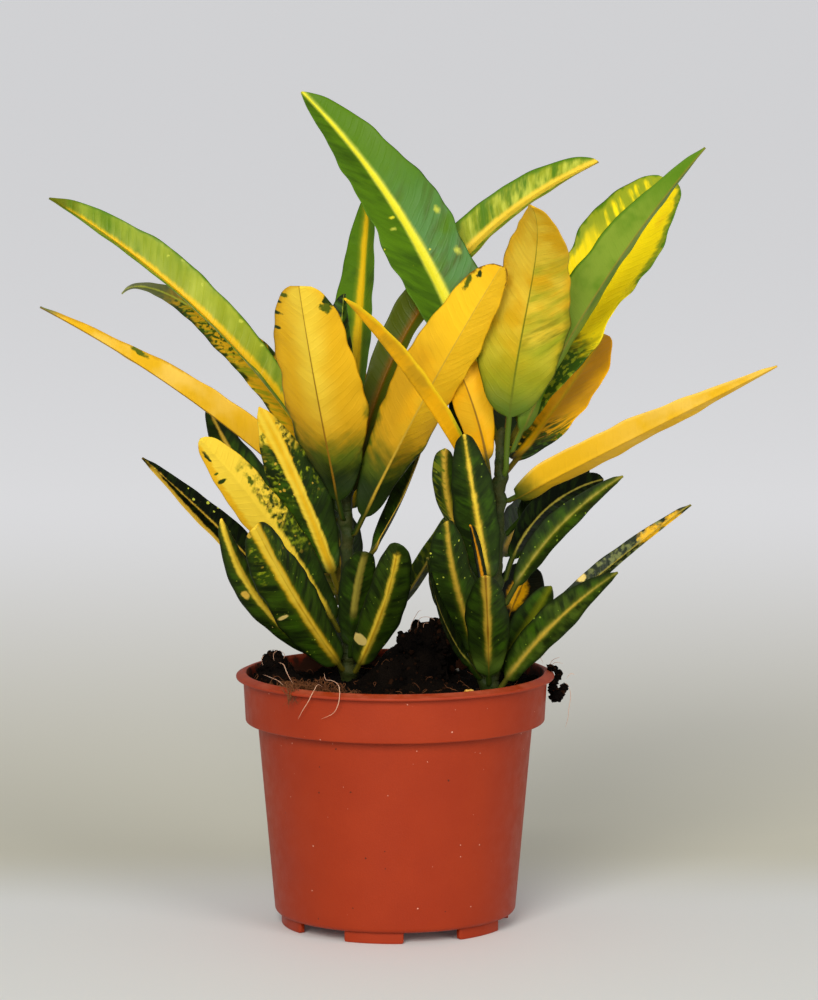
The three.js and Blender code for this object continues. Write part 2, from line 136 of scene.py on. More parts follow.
# puts points in millimetres about the pot's axis into a mesh object that stands for CAD nodes
def makePiece(name, shape, finish, slot, nodes=(), marks=None):
    points, faces = shape
    halves = [f if f.shape[1] == 3 else np.concatenate([f[:, [0, 1, 2]], f[:, [0, 2, 3]]]) for f in faces]
    if signedVolume(points, np.concatenate(halves)) < 0:
        faces = [f[:, ::-1] for f in faces]
    mesh = bpy.data.meshes.new(name)
    mesh.vertices.add(len(points))
    mesh.vertices.foreach_set("co", (points * mm + potAxis).astype(np.float32).ravel())
    sizes = np.concatenate([np.full(len(f), f.shape[1]) for f in faces])
    corners = np.concatenate([f.ravel() for f in faces])
    mesh.loops.add(len(corners))
    mesh.loops.foreach_set("vertex_index", corners.astype(np.int32))
    mesh.polygons.add(len(sizes))
    mesh.polygons.foreach_set("loop_start", (np.cumsum(sizes) - sizes).astype(np.int32))
    mesh.polygons.foreach_set("loop_total", sizes.astype(np.int32))
    mesh.polygons.foreach_set("use_smooth", np.ones(len(sizes), bool))
    for mark, values in (marks or {}).items():
        kind = "FLOAT" if values.ndim == 1 else "FLOAT_VECTOR"
        part = "value" if values.ndim == 1 else "vector"
        mesh.attributes.new(mark, kind, "POINT").data.foreach_set(part, values.astype(np.float32).ravel())
    mesh.update(calc_edges=True)
    mesh.materials.append(finish)
    piece = bpy.data.objects.new(name, mesh)
    bpy.context.scene.collection.objects.link(piece)
    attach(piece, "root")
    if nodes:
        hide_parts(*nodes)
    return piece


# value noise: seeded numbers on a wrapped lattice, blended smoothly, in octaves of half the size and height
def roughness2d(x, y, size, octaves, seed):
    total = np.zeros_like(x)
    lattice = np.random.RandomState(seed).uniform(-1, 1, (64, 64))
    for octave in range(octaves):
        u = x / size * 2**octave + 7.3 * octave
        v = y / size * 2**octave + 3.1 * octave
        i, j = np.floor(u).astype(int), np.floor(v).astype(int)
        s, t = smooth(u - i, 0, 1), smooth(v - j, 0, 1)
        corner = [lattice[(i + a) % 64, (j + b) % 64] for a in (0, 1) for b in (0, 1)]
        low = corner[0] * (1 - t) + corner[1] * t
        high = corner[2] * (1 - t) + corner[3] * t
        total += (low * (1 - s) + high * s) * 0.55**octave
    return total


# sRGB 0..255 to the linear colour that a shader takes
def linear(rgb):
    c = np.array(rgb) / 255
    c = np.where(c <= 0.04045, c / 12.92, ((c + 0.055) / 1.055) ** 2.4)
    return (*c.tolist(), 1.0)


# a node's output that can be reckoned with: each sign adds a maths node to its tree
class Field:
    def __init__(self, socket):
        self.socket = socket
        self.tree = socket.id_data

    def __add__(self, other):
        return calc("ADD", self, other)

    def __radd__(self, other):
        return calc("ADD", other, self)

    def __sub__(self, other):
        return calc("SUBTRACT", self, other)

    def __rsub__(self, other):
        return calc("SUBTRACT", other, self)

    def __mul__(self, other):
        return calc("MULTIPLY", self, other)

    def __truediv__(self, other):
        return calc("DIVIDE", self, other)

    def __rtruediv__(self, other):
        return calc("DIVIDE", other, self)

    def __pow__(self, other):
        return calc("POWER", self, other)

    def __abs__(self):
        return calc("ABSOLUTE", self)


# gives a node's inputs a value or another node's output
def wire(node, wires):
    for key, value in wires.items():
        if isinstance(value, Field):
            node.id_data.links.new(value.socket, node.inputs[key])
        else:
            node.inputs[key].default_value = value
    return node


# adds a node: settings are its properties
def put(tree, kind, wires=None, **settings):
    node = tree.nodes.new(kind)
    for key, value in settings.items():
        setattr(node, key, value)
    return wire(node, wires or {})


def calc(operation, *values):
    tree = next(value.tree for value in values if isinstance(value, Field))
    return field(tree, "ShaderNodeMath", dict(enumerate(values)), operation=operation)


# adds a node and gives one of its outputs
def field(tree, kind, wires=None, output=0, **settings):
    return Field(put(tree, kind, wires, **settings).outputs[output])


# 0 at low and 1 at high, in an S
def ease(value, low, high):
    wires = {"Value": value, "From Min": low, "From Max": high}
    return field(value.tree, "ShaderNodeMapRange", wires, interpolation_type="SMOOTHSTEP")


# 0 below a level and 1 above it, or the other way round where soft is negative
def around(value, level, soft):
    return ease(value, level - soft, level + soft)


def blend(factor, low, high):
    return field(factor.tree, "ShaderNodeMix", {0: factor, 6: low, 7: high}, 2, data_type="RGBA")


def blendValue(factor, low, high):
    return field(factor.tree, "ShaderNodeMix", {0: factor, 2: low, 3: high}, data_type="FLOAT")


def vector(x, y, z):
    return field(x.tree, "ShaderNodeCombineXYZ", {0: x, 1: y, 2: z})


def split(value, kind="XYZ"):
    return [Field(socket) for socket in put(value.tree, "ShaderNodeSeparate" + kind, {0: value}).outputs]


def attribute(tree, name, output="Vector"):
    return field(tree, "ShaderNodeAttribute", output=output, attribute_name=name)


# noise centred on 0, about -1 to 1
def noise(place, scale, detail=2.0):
    plain = field(place.tree, "ShaderNodeTexNoise", {"Vector": place, "Scale": scale, "Detail": detail})
    wires = {"Value": plain, "From Min": 0.25, "From Max": 0.75, "To Min": -1.0}
    return field(place.tree, "ShaderNodeMapRange", wires, clamp=False)


# round spots in a share of a grid's cells, of different sizes; jag moves their edges in, and from low to high
# they blur, all in parts of a cell
def cellSpots(place, entry, jag, low, high):
    cells = put(place.tree, "ShaderNodeTexVoronoi", {"Vector": place, "Scale": 1.0 / entry["cell"]}).outputs
    first, second, _ = split(Field(cells["Color"]), "Color")
    inside = (second * 0.7 + 0.3) * entry["radius"] - (Field(cells["Distance"]) + jag)
    return calc("LESS_THAN", first, entry["amount"]) * ease(inside, low, high)


def bump(height, strength, distance):
    wires = {"Strength": strength, "Distance": distance * mm, "Height": height}
    return field(height.tree, "ShaderNodeBump", wires)


# a node group with named inputs; build gets its tree and what comes in, and gives the named outputs
def makeGroup(name, inputs, build):
    tree = bpy.data.node_groups.new(name, "ShaderNodeTree")
    for label, start in {"seed": 0.0, **inputs}.items():
        socket = tree.interface.new_socket(name=label, in_out="INPUT", socket_type="NodeSocketFloat")
        socket.default_value = start
    entry = {socket.name: Field(socket) for socket in tree.nodes.new("NodeGroupInput").outputs}
    results = build(tree, entry)
    for label, value in results.items():
        kind = "NodeSocketVector" if value.socket.type == "VECTOR" else "NodeSocketFloat"
        tree.interface.new_socket(name=label, in_out="OUTPUT", socket_type=kind)
    wire(tree.nodes.new("NodeGroupOutput"), results)


def useGroup(tree, name, **wires):
    node = put(tree, "ShaderNodeGroup", node_tree=bpy.data.node_groups[name])
    return {socket.name: Field(socket) for socket in wire(node, wires).outputs}


def newMaterial(name):
    material = bpy.data.materials.new(name)
    material.use_nodes = True
    return material, material.node_tree


def setShader(tree, colour, roughness, more):
    wire(tree.nodes["Principled BSDF"], {"Base Color": colour, "Roughness": roughness, **more})


# the side veins leave the midrib at a slant and bend towards the tip, in millimetres
veinForm = {"slant": 0.45, "bend": 0.02, "drawnOut": 0.34}

# noise scales per millimetre: the larger, the finer
fineness = {"wander": 0.09, "feather": 0.55, "freckleEdge": 0.9, "patchEdge": 0.5, "alongVeins": 0.3,
            "spanEdge": 0.14, "marginEdge": 0.16, "veinWobble": 0.12, "wax": 0.16, "pores": 1.6,
            "swelling": 0.16, "dustEdge": 2.0, "dustRelief": 1.3}
reliefForm = {"veinWidth": 0.55, "pores": 0.12, "swelling": 2.6}


# where a point lies on a leaf, from the blade and size attributes, in millimetres and shares;
# veinPlace runs along the side veins
def leafPlace(tree, entry):
    share, side, under = split(attribute(tree, "blade"))
    along, across, half = split(attribute(tree, "size"))
    reach = abs(across)
    vein = along - reach * veinForm["slant"] - reach ** 2.0 * veinForm["bend"]
    return {"share": share, "side": side, "under": under, "along": along, "across": across, "reach": reach,
            "edge": half - reach, "place": vector(along, across, entry["seed"]),
            "veinPlace": vector(vein, across * veinForm["drawnOut"], entry["seed"])}


# midrib colour: the half width goes from base to tip, wanders, and runs out a little along the side veins
def stripeMask(place, entry):
    width = blendValue(place["share"], entry["base"], entry["tip"])
    wander = noise(place["place"], fineness["wander"], 1.0) * entry["wander"]
    feather = noise(place["veinPlace"], fineness["feather"]) * entry["feather"]
    return ease(width + wander + feather - place["reach"], entry["soft"] * -1.0, entry["soft"])


# streaks along the side veins, over a share of the blade
def streakMask(place, entry):
    value = noise(place["veinPlace"], 1.0 / entry["grain"], 3.0)
    return around(value, 1.0 - entry["cover"] * 2.0, entry["soft"])


# round spots in a share of the cells, of different sizes
def freckleMask(place, entry):
    jag = noise(place["place"], fineness["freckleEdge"]) * 0.08
    return cellSpots(place["place"], entry, jag, -0.04, 0.05)


# one oval patch at a place in millimetres along and across
def patchMask(place, entry):
    x = abs((place["along"] - entry["atAlong"]) / entry["halfLong"])
    y = abs((place["across"] - entry["atAcross"]) / entry["halfWide"])
    jag = noise(place["place"], fineness["patchEdge"]) * entry["jag"]
    return around(calc("SQRT", x ** 2.0 + y ** 2.0) + jag, 1.0, entry["soft"] * -1.0)


# how far a layer's edge moves in and out, mostly along the side veins
def edgeShift(place, entry, kind):
    uneven = noise(place["veinPlace"], fineness["alongVeins"]) + noise(place["place"], fineness[kind])
    return uneven * 0.6 * entry["jag"]


# a stretch of the blade between two shares of its length, with ends that follow the side veins
def spanMask(place, entry):
    share = place["share"] + edgeShift(place, entry, "spanEdge")
    return around(share, entry["start"], entry["soft"]) * around(share, entry["end"], entry["soft"] * -1.0)


# the blade's margin, with an inner edge that follows the side veins
def marginMask(place, entry):
    inside = entry["width"] + edgeShift(place, entry, "marginEdge") - place["edge"]
    return ease(inside, entry["soft"] * -1.0, entry["soft"])


# soft clouds
def cloudMask(place, entry):
    value = noise(place["place"], 1.0 / entry["grain"], 3.0)
    return around(value, 1.0 - entry["cover"] * 2.0, 0.5)


# uneven blotches of a grain in millimetres
def blotchMask(place, entry):
    value = noise(place["place"], 1.0 / entry["grain"], 2.5)
    return around(value, 0.6 - entry["cover"] * 1.2, entry["soft"])


# one half of the blade: the sign of side says which
def halfMask(place, entry):
    return around(place["side"] * entry["sign"], 0.0, 0.06)


# the side veins as fine lines, which fade towards the margin
def veinMask(place, entry):
    wobble = noise(place["place"], fineness["veinWobble"], 1.0) * 0.6
    phase = calc("FRACT", (split(place["veinPlace"])[0] + wobble) / entry["spacing"])
    off = abs(phase - 0.5) * entry["spacing"]
    return ease(off, entry["width"], 0.0) * ease(place["edge"], 0.3, 3.0)


# the wax of a leaf: roughness from upper to lower side, with soft clouds
def leafWax(place, entry):
    plain = blendValue(place["under"], entry["upper"], entry["lower"])
    return plain + noise(place["place"], fineness["wax"], 3.0) * 0.06


# heights for the bump: side veins sunk on top and raised below, with swellings and fine pores between them
def leafRelief(place, entry):
    tree = place["place"].tree
    veins = useGroup(tree, "veins", seed=entry["seed"], width=reliefForm["veinWidth"])["mask"]
    pores = noise(place["place"], fineness["pores"]) * reliefForm["pores"]
    swelling = noise(place["veinPlace"], fineness["swelling"]) * reliefForm["swelling"]
    return veins * blendValue(place["under"], -1.0, 1.0) + pores + swelling


maskInputs = {}


# a group with one output that reads leafPlace; build gets the place's outputs and what comes in
def makeMask(name, build, output="mask", **inputs):
    def withPlace(tree, entry):
        return {output: build(useGroup(tree, "leafPlace", seed=entry["seed"]), entry)}
    maskInputs[name] = list(inputs)
    makeGroup(name, inputs, withPlace)


makeGroup("leafPlace", {}, leafPlace)
makeMask("stripe", stripeMask, base=1.5, tip=0.6, soft=0.5, feather=0.2, wander=0.25)
makeMask("streaks", streakMask, cover=0.4, grain=2.2, soft=0.35)
makeMask("freckles", freckleMask, cell=4.0, amount=0.4, radius=0.3)
makeMask("patch", patchMask, atAlong=0.0, atAcross=0.0, halfLong=2.0, halfWide=2.0, jag=0.3, soft=0.3)
makeMask("span", spanMask, start=0.0, end=1.0, soft=0.04, jag=0.03)
makeMask("margin", marginMask, width=1.0, jag=0.5, soft=0.4)
makeMask("clouds", cloudMask, cover=0.5, grain=14.0)
makeMask("blotches", blotchMask, cover=0.5, grain=2.6, soft=0.22)
makeMask("half", halfMask, sign=1.0)
makeMask("veins", veinMask, spacing=3.4, width=0.32)
makeMask("leafWax", leafWax, "roughness", upper=0.34, lower=0.5)
makeMask("leafRelief", leafRelief, "height")

hues = {  # the leaves' colours, sRGB
    "black": (12, 18, 7), "deep": (24, 36, 8), "bottle": (38, 56, 10), "green": (56, 86, 12),
    "leaf": (84, 122, 14), "paintedSheen": (84, 130, 64), "olive": (106, 112, 16), "sage": (122, 146, 42),
    "lime": (144, 156, 28), "pale": (192, 198, 70), "lemon": (232, 222, 48), "yellow": (238, 194, 20),
    "gold": (228, 176, 26), "ochre": (200, 150, 20), "amber": (238, 172, 10), "orange": (238, 156, 8),
    "cream": (232, 204, 116), "paleGold": (240, 204, 60), "brown": (136, 96, 18), "greyGreen": (112, 118, 62),
    "tan": (150, 130, 50), "canary": (255, 226, 12), "straw": (202, 164, 52), "dullStraw": (160, 146, 56),
    "moss": (84, 96, 14), "fern": (72, 92, 26), "butter": (236, 192, 76), "flame": (255, 186, 8),
    "bright": (248, 197, 34), "forest": (54, 76, 14),
}


# a layer of a look: its mask, its colour and the mask's values in order; on, a span's values, keeps it to a
# stretch of the blade, half to one half of it, and face to the upper (0) or the lower (1) side
def layer(mask, colour, *values, **more):
    return mask, colour, {**dict(zip(maskInputs[mask], values)), **more}


rib, streaks, freckles, spot, span, margin, clouds, blotches = (
    partial(layer, mask)
    for mask in ("stripe", "streaks", "freckles", "patch", "span", "margin", "clouds", "blotches"))


def look(ground, *layers, **more):
    return {"ground": ground, "layers": layers, **more}


# a dark foot of the blade that runs up its margins
def smokyBase(colour, end):
    return [span(colour, -0.3, end, 0.09, 0.05), margin(colour, 0.6, 3.0, 1.6, on=(-0.3, end + 0.14, 0.08))]


thinRib = rib("brown", 0.42, 0.1, 0.22, 0.0, 0.0)
darkShade = [clouds("green", 0.4, 9.0), streaks("deep", 0.42, 3.4, 0.7), margin("deep", 1.0, 0.5, 1.3)]
flecks = freckles("sage", 1.8, 0.16, 0.2)
specks = freckles("cream", 3.2, 0.2, 0.14)


# a dark blade with a pale band along the midrib, in a mossy border
def darkBand(colour, base, tip, soft=0.9, feather=0.3):
    return [*darkShade, flecks, rib("moss", base + 0.8, tip + 0.6, 1.4, 0.3, 0.35),
            rib(colour, base, tip, soft, feather, 0.35)]


looks = {
    "left_01": look("leaf", clouds("green", 0.35), rib("lime", 5.0, 1.6, 1.4), rib("yellow", 3.6, 0.9, 0.8)),
    "left_02": look("green", streaks("deep", 0.5), rib("pale", 0.5, 0.2)),
    "left_03": look("lime", streaks("pale", 0.45, 3.0, 0.6), streaks("leaf", 0.42, 3.2, 0.5),
        margin("leaf", 1.2, soft=1.0), span("moss", -0.2, 0.5, 0.08),
        clouds("bottle", 0.6, on=(-0.2, 0.5, 0.08)), rib("paleGold", 6.0, 6.0, half=1),
        rib("paleGold", 2.6, 1.4, 0.9), margin("tan", 0.4, 0.4, 0.5, half=1), span("moss", -0.2, 0.52, 0.08),
        rib("brown", 1.4, 1.4, 1.6, on=(-0.2, 0.52, 0.08))),
    "left_04": look("lime", clouds("leaf", 0.4), span("leaf", 0.72, 1.3, 0.2),
        streaks("pale", 0.22, 6.0, 1.6), freckles("pale", 6.0, 0.6, 0.2), margin("leaf", 0.6, soft=0.6),
        rib("yellow", 4.4, 0.3, 1.0, 0.4), rib("ochre", 0.6, 0.1, 0.3, 0.0, 0.0),
        span("olive", 0.94, 1.3, 0.04)),
    "left_05": look("gold", clouds("ochre", 0.4), *smokyBase("bottle", 0.2), thinRib),
    "left_06": look("gold", streaks("lime", 0.4, soft=0.6), margin("bottle", 0.9, 2.4, 0.8),
        blotches("green", 0.3, 1.8, half=-1, on=(0.38, 0.8)), span("greyGreen", 0.66, 1.3, 0.08),
        rib("pale", 0.6, 0.5, on=(0.6, 1.3))),
    "left_07": look("gold", rib("paleGold", 5.0, 6.0, 5.0, wander=1.5),
        margin("ochre", 1.4, 0.6, 2.4, half=1), spot("bottle", 90, 11.0, 0.9, 2.6, 0.5),
        spot("bottle", 84.5, 12.4, 0.9, 2.6, 0.5), spot("bottle", 77, 13.4, 0.8, 2.2, 0.5),
        spot("bottle", 91, -10.6, 3.6, 2.4, 0.6), spot("moss", 88, -8.6, 2.0, 2.2, 0.6),
        spot("moss", 94, 8.0, 1.0, 2.4, 0.5), span("ochre", -0.3, 0.4, 0.22), *smokyBase("moss", 0.26),
        *smokyBase("deep", 0.15), thinRib),
    "left_08": look("butter", clouds("gold", 0.6), span("gold", -0.3, 0.35, 0.2),
        margin("ochre", 0.5, 0.6, 0.5, on=(0.5, 1.1)), spot("moss", 92, -4.4, 3.4, 1.0, 0.4),
        span("greyGreen", 0.95, 1.3, 0.03), thinRib),
    "left_09": look("lime", streaks("green", 0.5), rib("yellow", 1.8, 0.6)),
    # painted light and shade: the bright gold over half -1 lifts the shade of the blade's fold, and the ochre
    # at its foot and over half 1 is partly painted shade
    "left_10": look("gold", clouds("amber", 0.4),
        margin("bright", 14.0, 0.0, 1.0, half=-1, on=(0.26, 1.2, 0.2)), span("bright", 0.64, 1.0, 0.2),
        margin("bright", 14.0, 0.0, 1.0, half=-1, on=(0.5, 1.0, 0.2)),
        margin("ochre", 9.0, 0.4, 3.0, half=1, on=(-0.3, 0.6, 0.12)), span("ochre", -0.3, 0.36, 0.16),
        spot("moss", 111, 7.6, 4.0, 1.0, 0.6, 0.4), spot("bottle", 116, 5.4, 1.4, 0.9, 0.6),
        margin("brown", 0.5, 1.4, 0.6, on=(0.88, 1.3)), *smokyBase("moss", 0.24),
        *smokyBase("bottle", 0.17), span("deep", -0.3, 0.1, 0.08), rib("straw", 0.5, 0.1, 0.3, 0.0, 0.0)),
    "left_11": look("bottle", *darkShade, rib("straw", 1.2, 0.6)),
    "left_12": look("bottle", *darkShade, flecks, margin("straw", 0.5, 0.5, half=1),
        span("brown", 0.9, 1.3, 0.04), rib("dullStraw", 0.4, 0.3)),
    "left_13": look("bottle", *darkShade, flecks,
        blotches("lime", 0.2, 2.4, 0.4, on=(0.46, 0.68, 0.06)),
        freckles("straw", 3.0, 0.4, 0.32, on=(0.44, 0.72)), span("paleGold", 0.76, 1.4, 0.06, 0.12),
        blotches("moss", 0.4, 2.6, 0.4, half=1, on=(0.7, 0.92, 0.05)),
        blotches("bottle", 0.5, 2.4, 0.4, half=-1, on=(0.66, 0.9, 0.05)),
        rib("gold", 0.2, 3.6, 0.6, 0.7), rib("paleGold", 1.9, 2.4, 0.7, 0.3, 0.3),
        rib("gold", 0.9, 0.4, 0.8, 0.0, 0.3)),
    "left_14": look("olive", streaks("tan", 0.5), thinRib),
    "left_15": look("bottle", *darkBand("straw", 1.4, 0.7)),
    "left_16": look("bottle", *darkShade, flecks,
        blotches("lime", 0.3, 2.6, 0.45, half=-1, on=(0.34, 0.62, 0.06)),
        freckles("straw", 3.2, 0.6, 0.36, on=(0.34, 0.6)), span("paleGold", 0.5, 1.4, 0.04, 0.1),
        margin("gold", 2.4, 1.0, 0.8, half=1, on=(0.44, 1.2)),
        blotches("olive", 0.34, 2.8, 0.5, half=-1, on=(0.46, 0.8, 0.05)),
        blotches("bottle", 0.34, 2.4, 0.4, half=-1, on=(0.3, 0.68, 0.05)),
        spot("bottle", 91, 3.0, 2.6, 0.7, 0.6), spot("bottle", 78, 5.0, 0.9, 1.7, 0.6),
        spot("moss", 82, 4.6, 0.6, 1.2, 0.6), spot("moss", 71, -4.2, 2.2, 1.2, 0.7),
        rib("paleGold", 0.8, 2.4, 0.8, 0.5)),
    "left_17": look("moss", streaks("bottle", 0.6), rib("tan", 1.0, 0.5)),
    "left_18": look("black", streaks("deep", 0.4),
        freckles("pale", 2.4, 0.5, 0.28, half=1, on=(0.4, 1.0)),
        margin("straw", 1.7, 0.6, 0.5, half=-1, on=(0.5, 0.95)), rib("straw", 0.5, 0.1, feather=0.3),
        ior=1.12),
    "left_19": look("bottle", *darkShade, flecks,
        rib("dullStraw", 1.2, 1.3, 0.7, on=(0.3, 0.94, 0.08))),
    "left_20": look("forest", *darkBand("paleGold", 1.0, 1.2, feather=0.2, soft=0.6),
        freckles("pale", 2.8, 0.5, 0.3, half=-1, on=(0.7, 0.95)), specks,
        spot("butter", 50, 2.9, 2.2, 1.3, 0.2)),
    "left_21": look("bottle", *darkBand("straw", 1.4, 0.7)),
    "left_22": look("forest", blotches("lime", 0.16, 2.4, 0.4, on=(0.64, 0.96, 0.06)),
        freckles("straw", 2.4, 0.35, 0.3, on=(0.66, 0.96, 0.05)), *darkBand("gold", 1.2, 2.4),
        rib("paleGold", 0.6, 2.0, 0.9), freckles("pale", 2.4, 0.3, 0.14, on=(0.1, 0.7)),
        spot("cream", 40, 7.6, 1.0, 2.0, 0.3), spot("straw", 92, 3.4, 1.6, 0.9, 0.5),
        rib("ochre", 0.3, 0.0, 0.35, 0.0, 0.2)),
    "left_23": look("forest", *darkBand("paleGold", 1.3, 0.9, feather=0.3, soft=0.7),
        freckles("pale", 3.4, 0.25, 0.14), spot("cream", 11.5, 3.9, 2.7, 2.8, 0.12, 0.12),
        rib("ochre", 0.3, 0.1, 0.35, 0.0, 0.2), span("bottle", 0.93, 1.4, 0.02)),
    "right_01": look("leaf", streaks("green", 0.42, 5.0, 0.9, half=-1),
        # painted reflection: the blue-green clouds over half 1 of the blade stand for the sheen of light on
        # it
        clouds("paintedSheen", 0.66, 16.0, half=1, on=(0.16, 0.62, 0.2)),
        streaks("fern", 0.34, 4.0, 0.7, half=1, on=(-0.2, 0.6, 0.2)),
        freckles("lemon", 5.0, 0.25, 0.12, on=(0.4, 0.62)), spot("pale", 64, 12.8, 1.5, 1.2, 0.4, 0.7),
        spot("pale", 83, -7.2, 0.7, 1.6, 0.5, 0.6), spot("lemon", 88, -4.8, 0.6, 1.3, 0.5, 0.6),
        spot("pale", 82, 13.4, 1.3, 0.9, 0.5, 0.8), rib("pale", 3.4, 0.9, 1.0, 0.1),
        rib("lemon", 2.7, 0.4, 0.6, 0.1)),
    "right_02": look("canary", clouds("yellow", 0.2),
        streaks("lime", 0.7, 3.6, 0.5, half=-1, on=(0.68, 1.3, 0.08)),
        margin("lime", 2.6, 1.6, 1.2, on=(0.56, 1.3, 0.1)),
        margin("leaf", 0.6, 2.0, 0.9, on=(0.5, 1.3, 0.1)),
        streaks("moss", 0.6, 3.0, 0.5, on=(0.2, 0.35, 0.04)), span("green", -0.2, 0.3, 0.04, 0.05),
        blotches("lime", 0.3, on=(-0.2, 0.34)), rib("yellow", 1.6, 0.8)),
    "right_03": look("sage", clouds("leaf", 0.4), margin("leaf", 0.8, 0.2), span("leaf", 0.8, 1.3, 0.12),
        rib("yellow", 1.4, 0.5, face=0), margin("brown", 0.25, 0.2, 0.3, half=-1),
        rib("tan", 0.4, 0.1, wander=0.0, feather=0.0, face=1), petiole="fern"),
    "right_04": look("gold", clouds("ochre", 0.4), *smokyBase("bottle", 0.26), thinRib),
    "right_05": look("flame", clouds("amber", 0.5), span("deep", -0.2, 0.2, 0.03, 0.12),
        blotches("green", 0.4, 2.2, on=(-0.2, 0.26)),
        streaks("moss", 0.5, 2.6, on=(0.16, 0.34, 0.06, 0.05)),
        freckles("yellow", 3.0, 0.5, 0.34, on=(-0.2, 0.26), half=-1), rib("flame", 2.0, 1.2, 0.9),
        rib("yellow", 0.6, 1.0, 1.4)),
    "right_06": look("paleGold", clouds("gold", 0.45), margin("gold", 2.2, 0.6, 2.4),
        streaks("lime", 0.42, 7.0, 1.0, on=(0.2, 0.62, 0.12), half=-1),
        span("lime", -0.3, 0.22, 0.22, 0.03), margin("olive", 1.4, 1.6, 1.6, on=(-0.2, 0.4, 0.12)),
        span("olive", -0.3, 0.1, 0.14, 0.03),
        streaks("olive", 0.3, 3.4, 0.8, half=-1, on=(0.24, 0.36, 0.05)),
        span("leaf", -0.3, 0.02, 0.06, 0.03), rib("olive", 0.45, -0.05, 0.3, 0.0, 0.0), petiole="fern"),
    "right_07": look("amber", clouds("gold", 0.5), thinRib),
    "right_08": look("deep", streaks("black", 0.5), rib("bottle", 0.6, 0.2), ior=1.12),
    "right_09": look("butter", clouds("gold", 0.45), span("gold", -0.3, 0.45, 0.25),
        margin("butter", 0.8, 0.3), span("olive", -0.2, 0.06, 0.08), rib("ochre", 0.3, 0.1, 0.3, 0.0, 0.0)),
    "right_10": look("amber", clouds("ochre", 0.4), margin("yellow", 1.0, 0.3, 0.7),
        margin("lime", 0.9, 0.5, 0.6, on=(-0.2, 0.3, 0.08)), spot("brown", 62, 1.4, 1.0, 0.8, 0.4)),
    "right_11": look("black", streaks("deep", 0.4), rib("bottle", 0.6, 0.2), ior=1.12),
    "right_12": look("bottle", *darkBand("straw", 1.3, 0.5)),
    "right_13": look("bottle", *darkBand("straw", 0.9, 1.0),
        streaks("olive", 0.42, 1.8, 0.3, half=1, on=(0.3, 1.2))),
    "right_14": look("black", streaks("deep", 0.4), rib("dullStraw", 0.5, 0.3), ior=1.12),
    "right_15": look("bottle", *darkBand("straw", 1.4, 0.2, feather=0.5),
        rib("paleGold", 1.0, 0.1, 0.6, 0.3)),
    "right_16": look("bottle", *darkBand("dullStraw", 0.7, 0.2),
        freckles("sage", 2.2, 0.4, 0.2, on=(0.1, 0.7))),
    "right_17": look("bottle", *darkBand("straw", 1.3, 0.5)),
    "right_18": look("deep", margin("black", 0.6, 0.6), rib("orange", 1.6, 0.2, 0.5)),
    "right_19": look("bottle", *darkBand("straw", 1.3, 0.5)),
    "right_20": look("black", spot("amber", 23, -0.5, 8, 3.6, 0.16), rib("brown", 0.3, 0.1, 0.3)),
    "right_21": look("bottle", *darkBand("straw", 1.1, 0.7), freckles("pale", 2.6, 0.4, 0.18)),
    "right_22": look("deep", blotches("greyGreen", 0.3, 2.2, 0.4, on=(0.45, 0.9)),
        freckles("sage", 2.6, 0.5, 0.26, on=(0.4, 0.95)), spot("gold", 76, 0.6, 5, 2.2, 0.4),
        spot("gold", 66, 0.4, 4.8, 3.4, 0.4), spot("cream", 35, -3.8, 2.0, 1.4, 0.3),
        rib("dullStraw", 0.4, 0.3)),
    "right_23": look("bottle", *darkShade, rib("olive", 2.2, 1.0, 1.4)),
    "right_24": look("deep", streaks("black", 0.5), rib("dullStraw", 0.4, 0.2), ior=1.12),
    "right_25": look("black", streaks("deep", 0.5), rib("dullStraw", 0.3, 0.1), ior=1.12),
    "right_26": look("bottle", *darkBand("straw", 0.8, 1.5, feather=0.25), span("fern", -0.3, 0.16, 0.08),
        rib("brown", 0.1, 0.3, 0.35, 0.0, 0.2)),
    "right_27": look("bottle", clouds("fern", 0.6), *darkBand("dullStraw", 1.3, 0.1, feather=0.35),
        rib("straw", 0.5, 0.0, 0.9, on=(-0.2, 0.8, 0.1))),
}

leafSurface = {"upperRoughness": 0.4, "lowerRoughness": 0.5, "reliefHeight": 0.09, "ior": 1.22,
               "veinShade": 0.02, "cloudShade": 0.14, "petioleShade": 0.92, "petioleEnd": (0.12, -0.02),
               "darker": {"Saturation": 1.05, "Value": 0.72}}


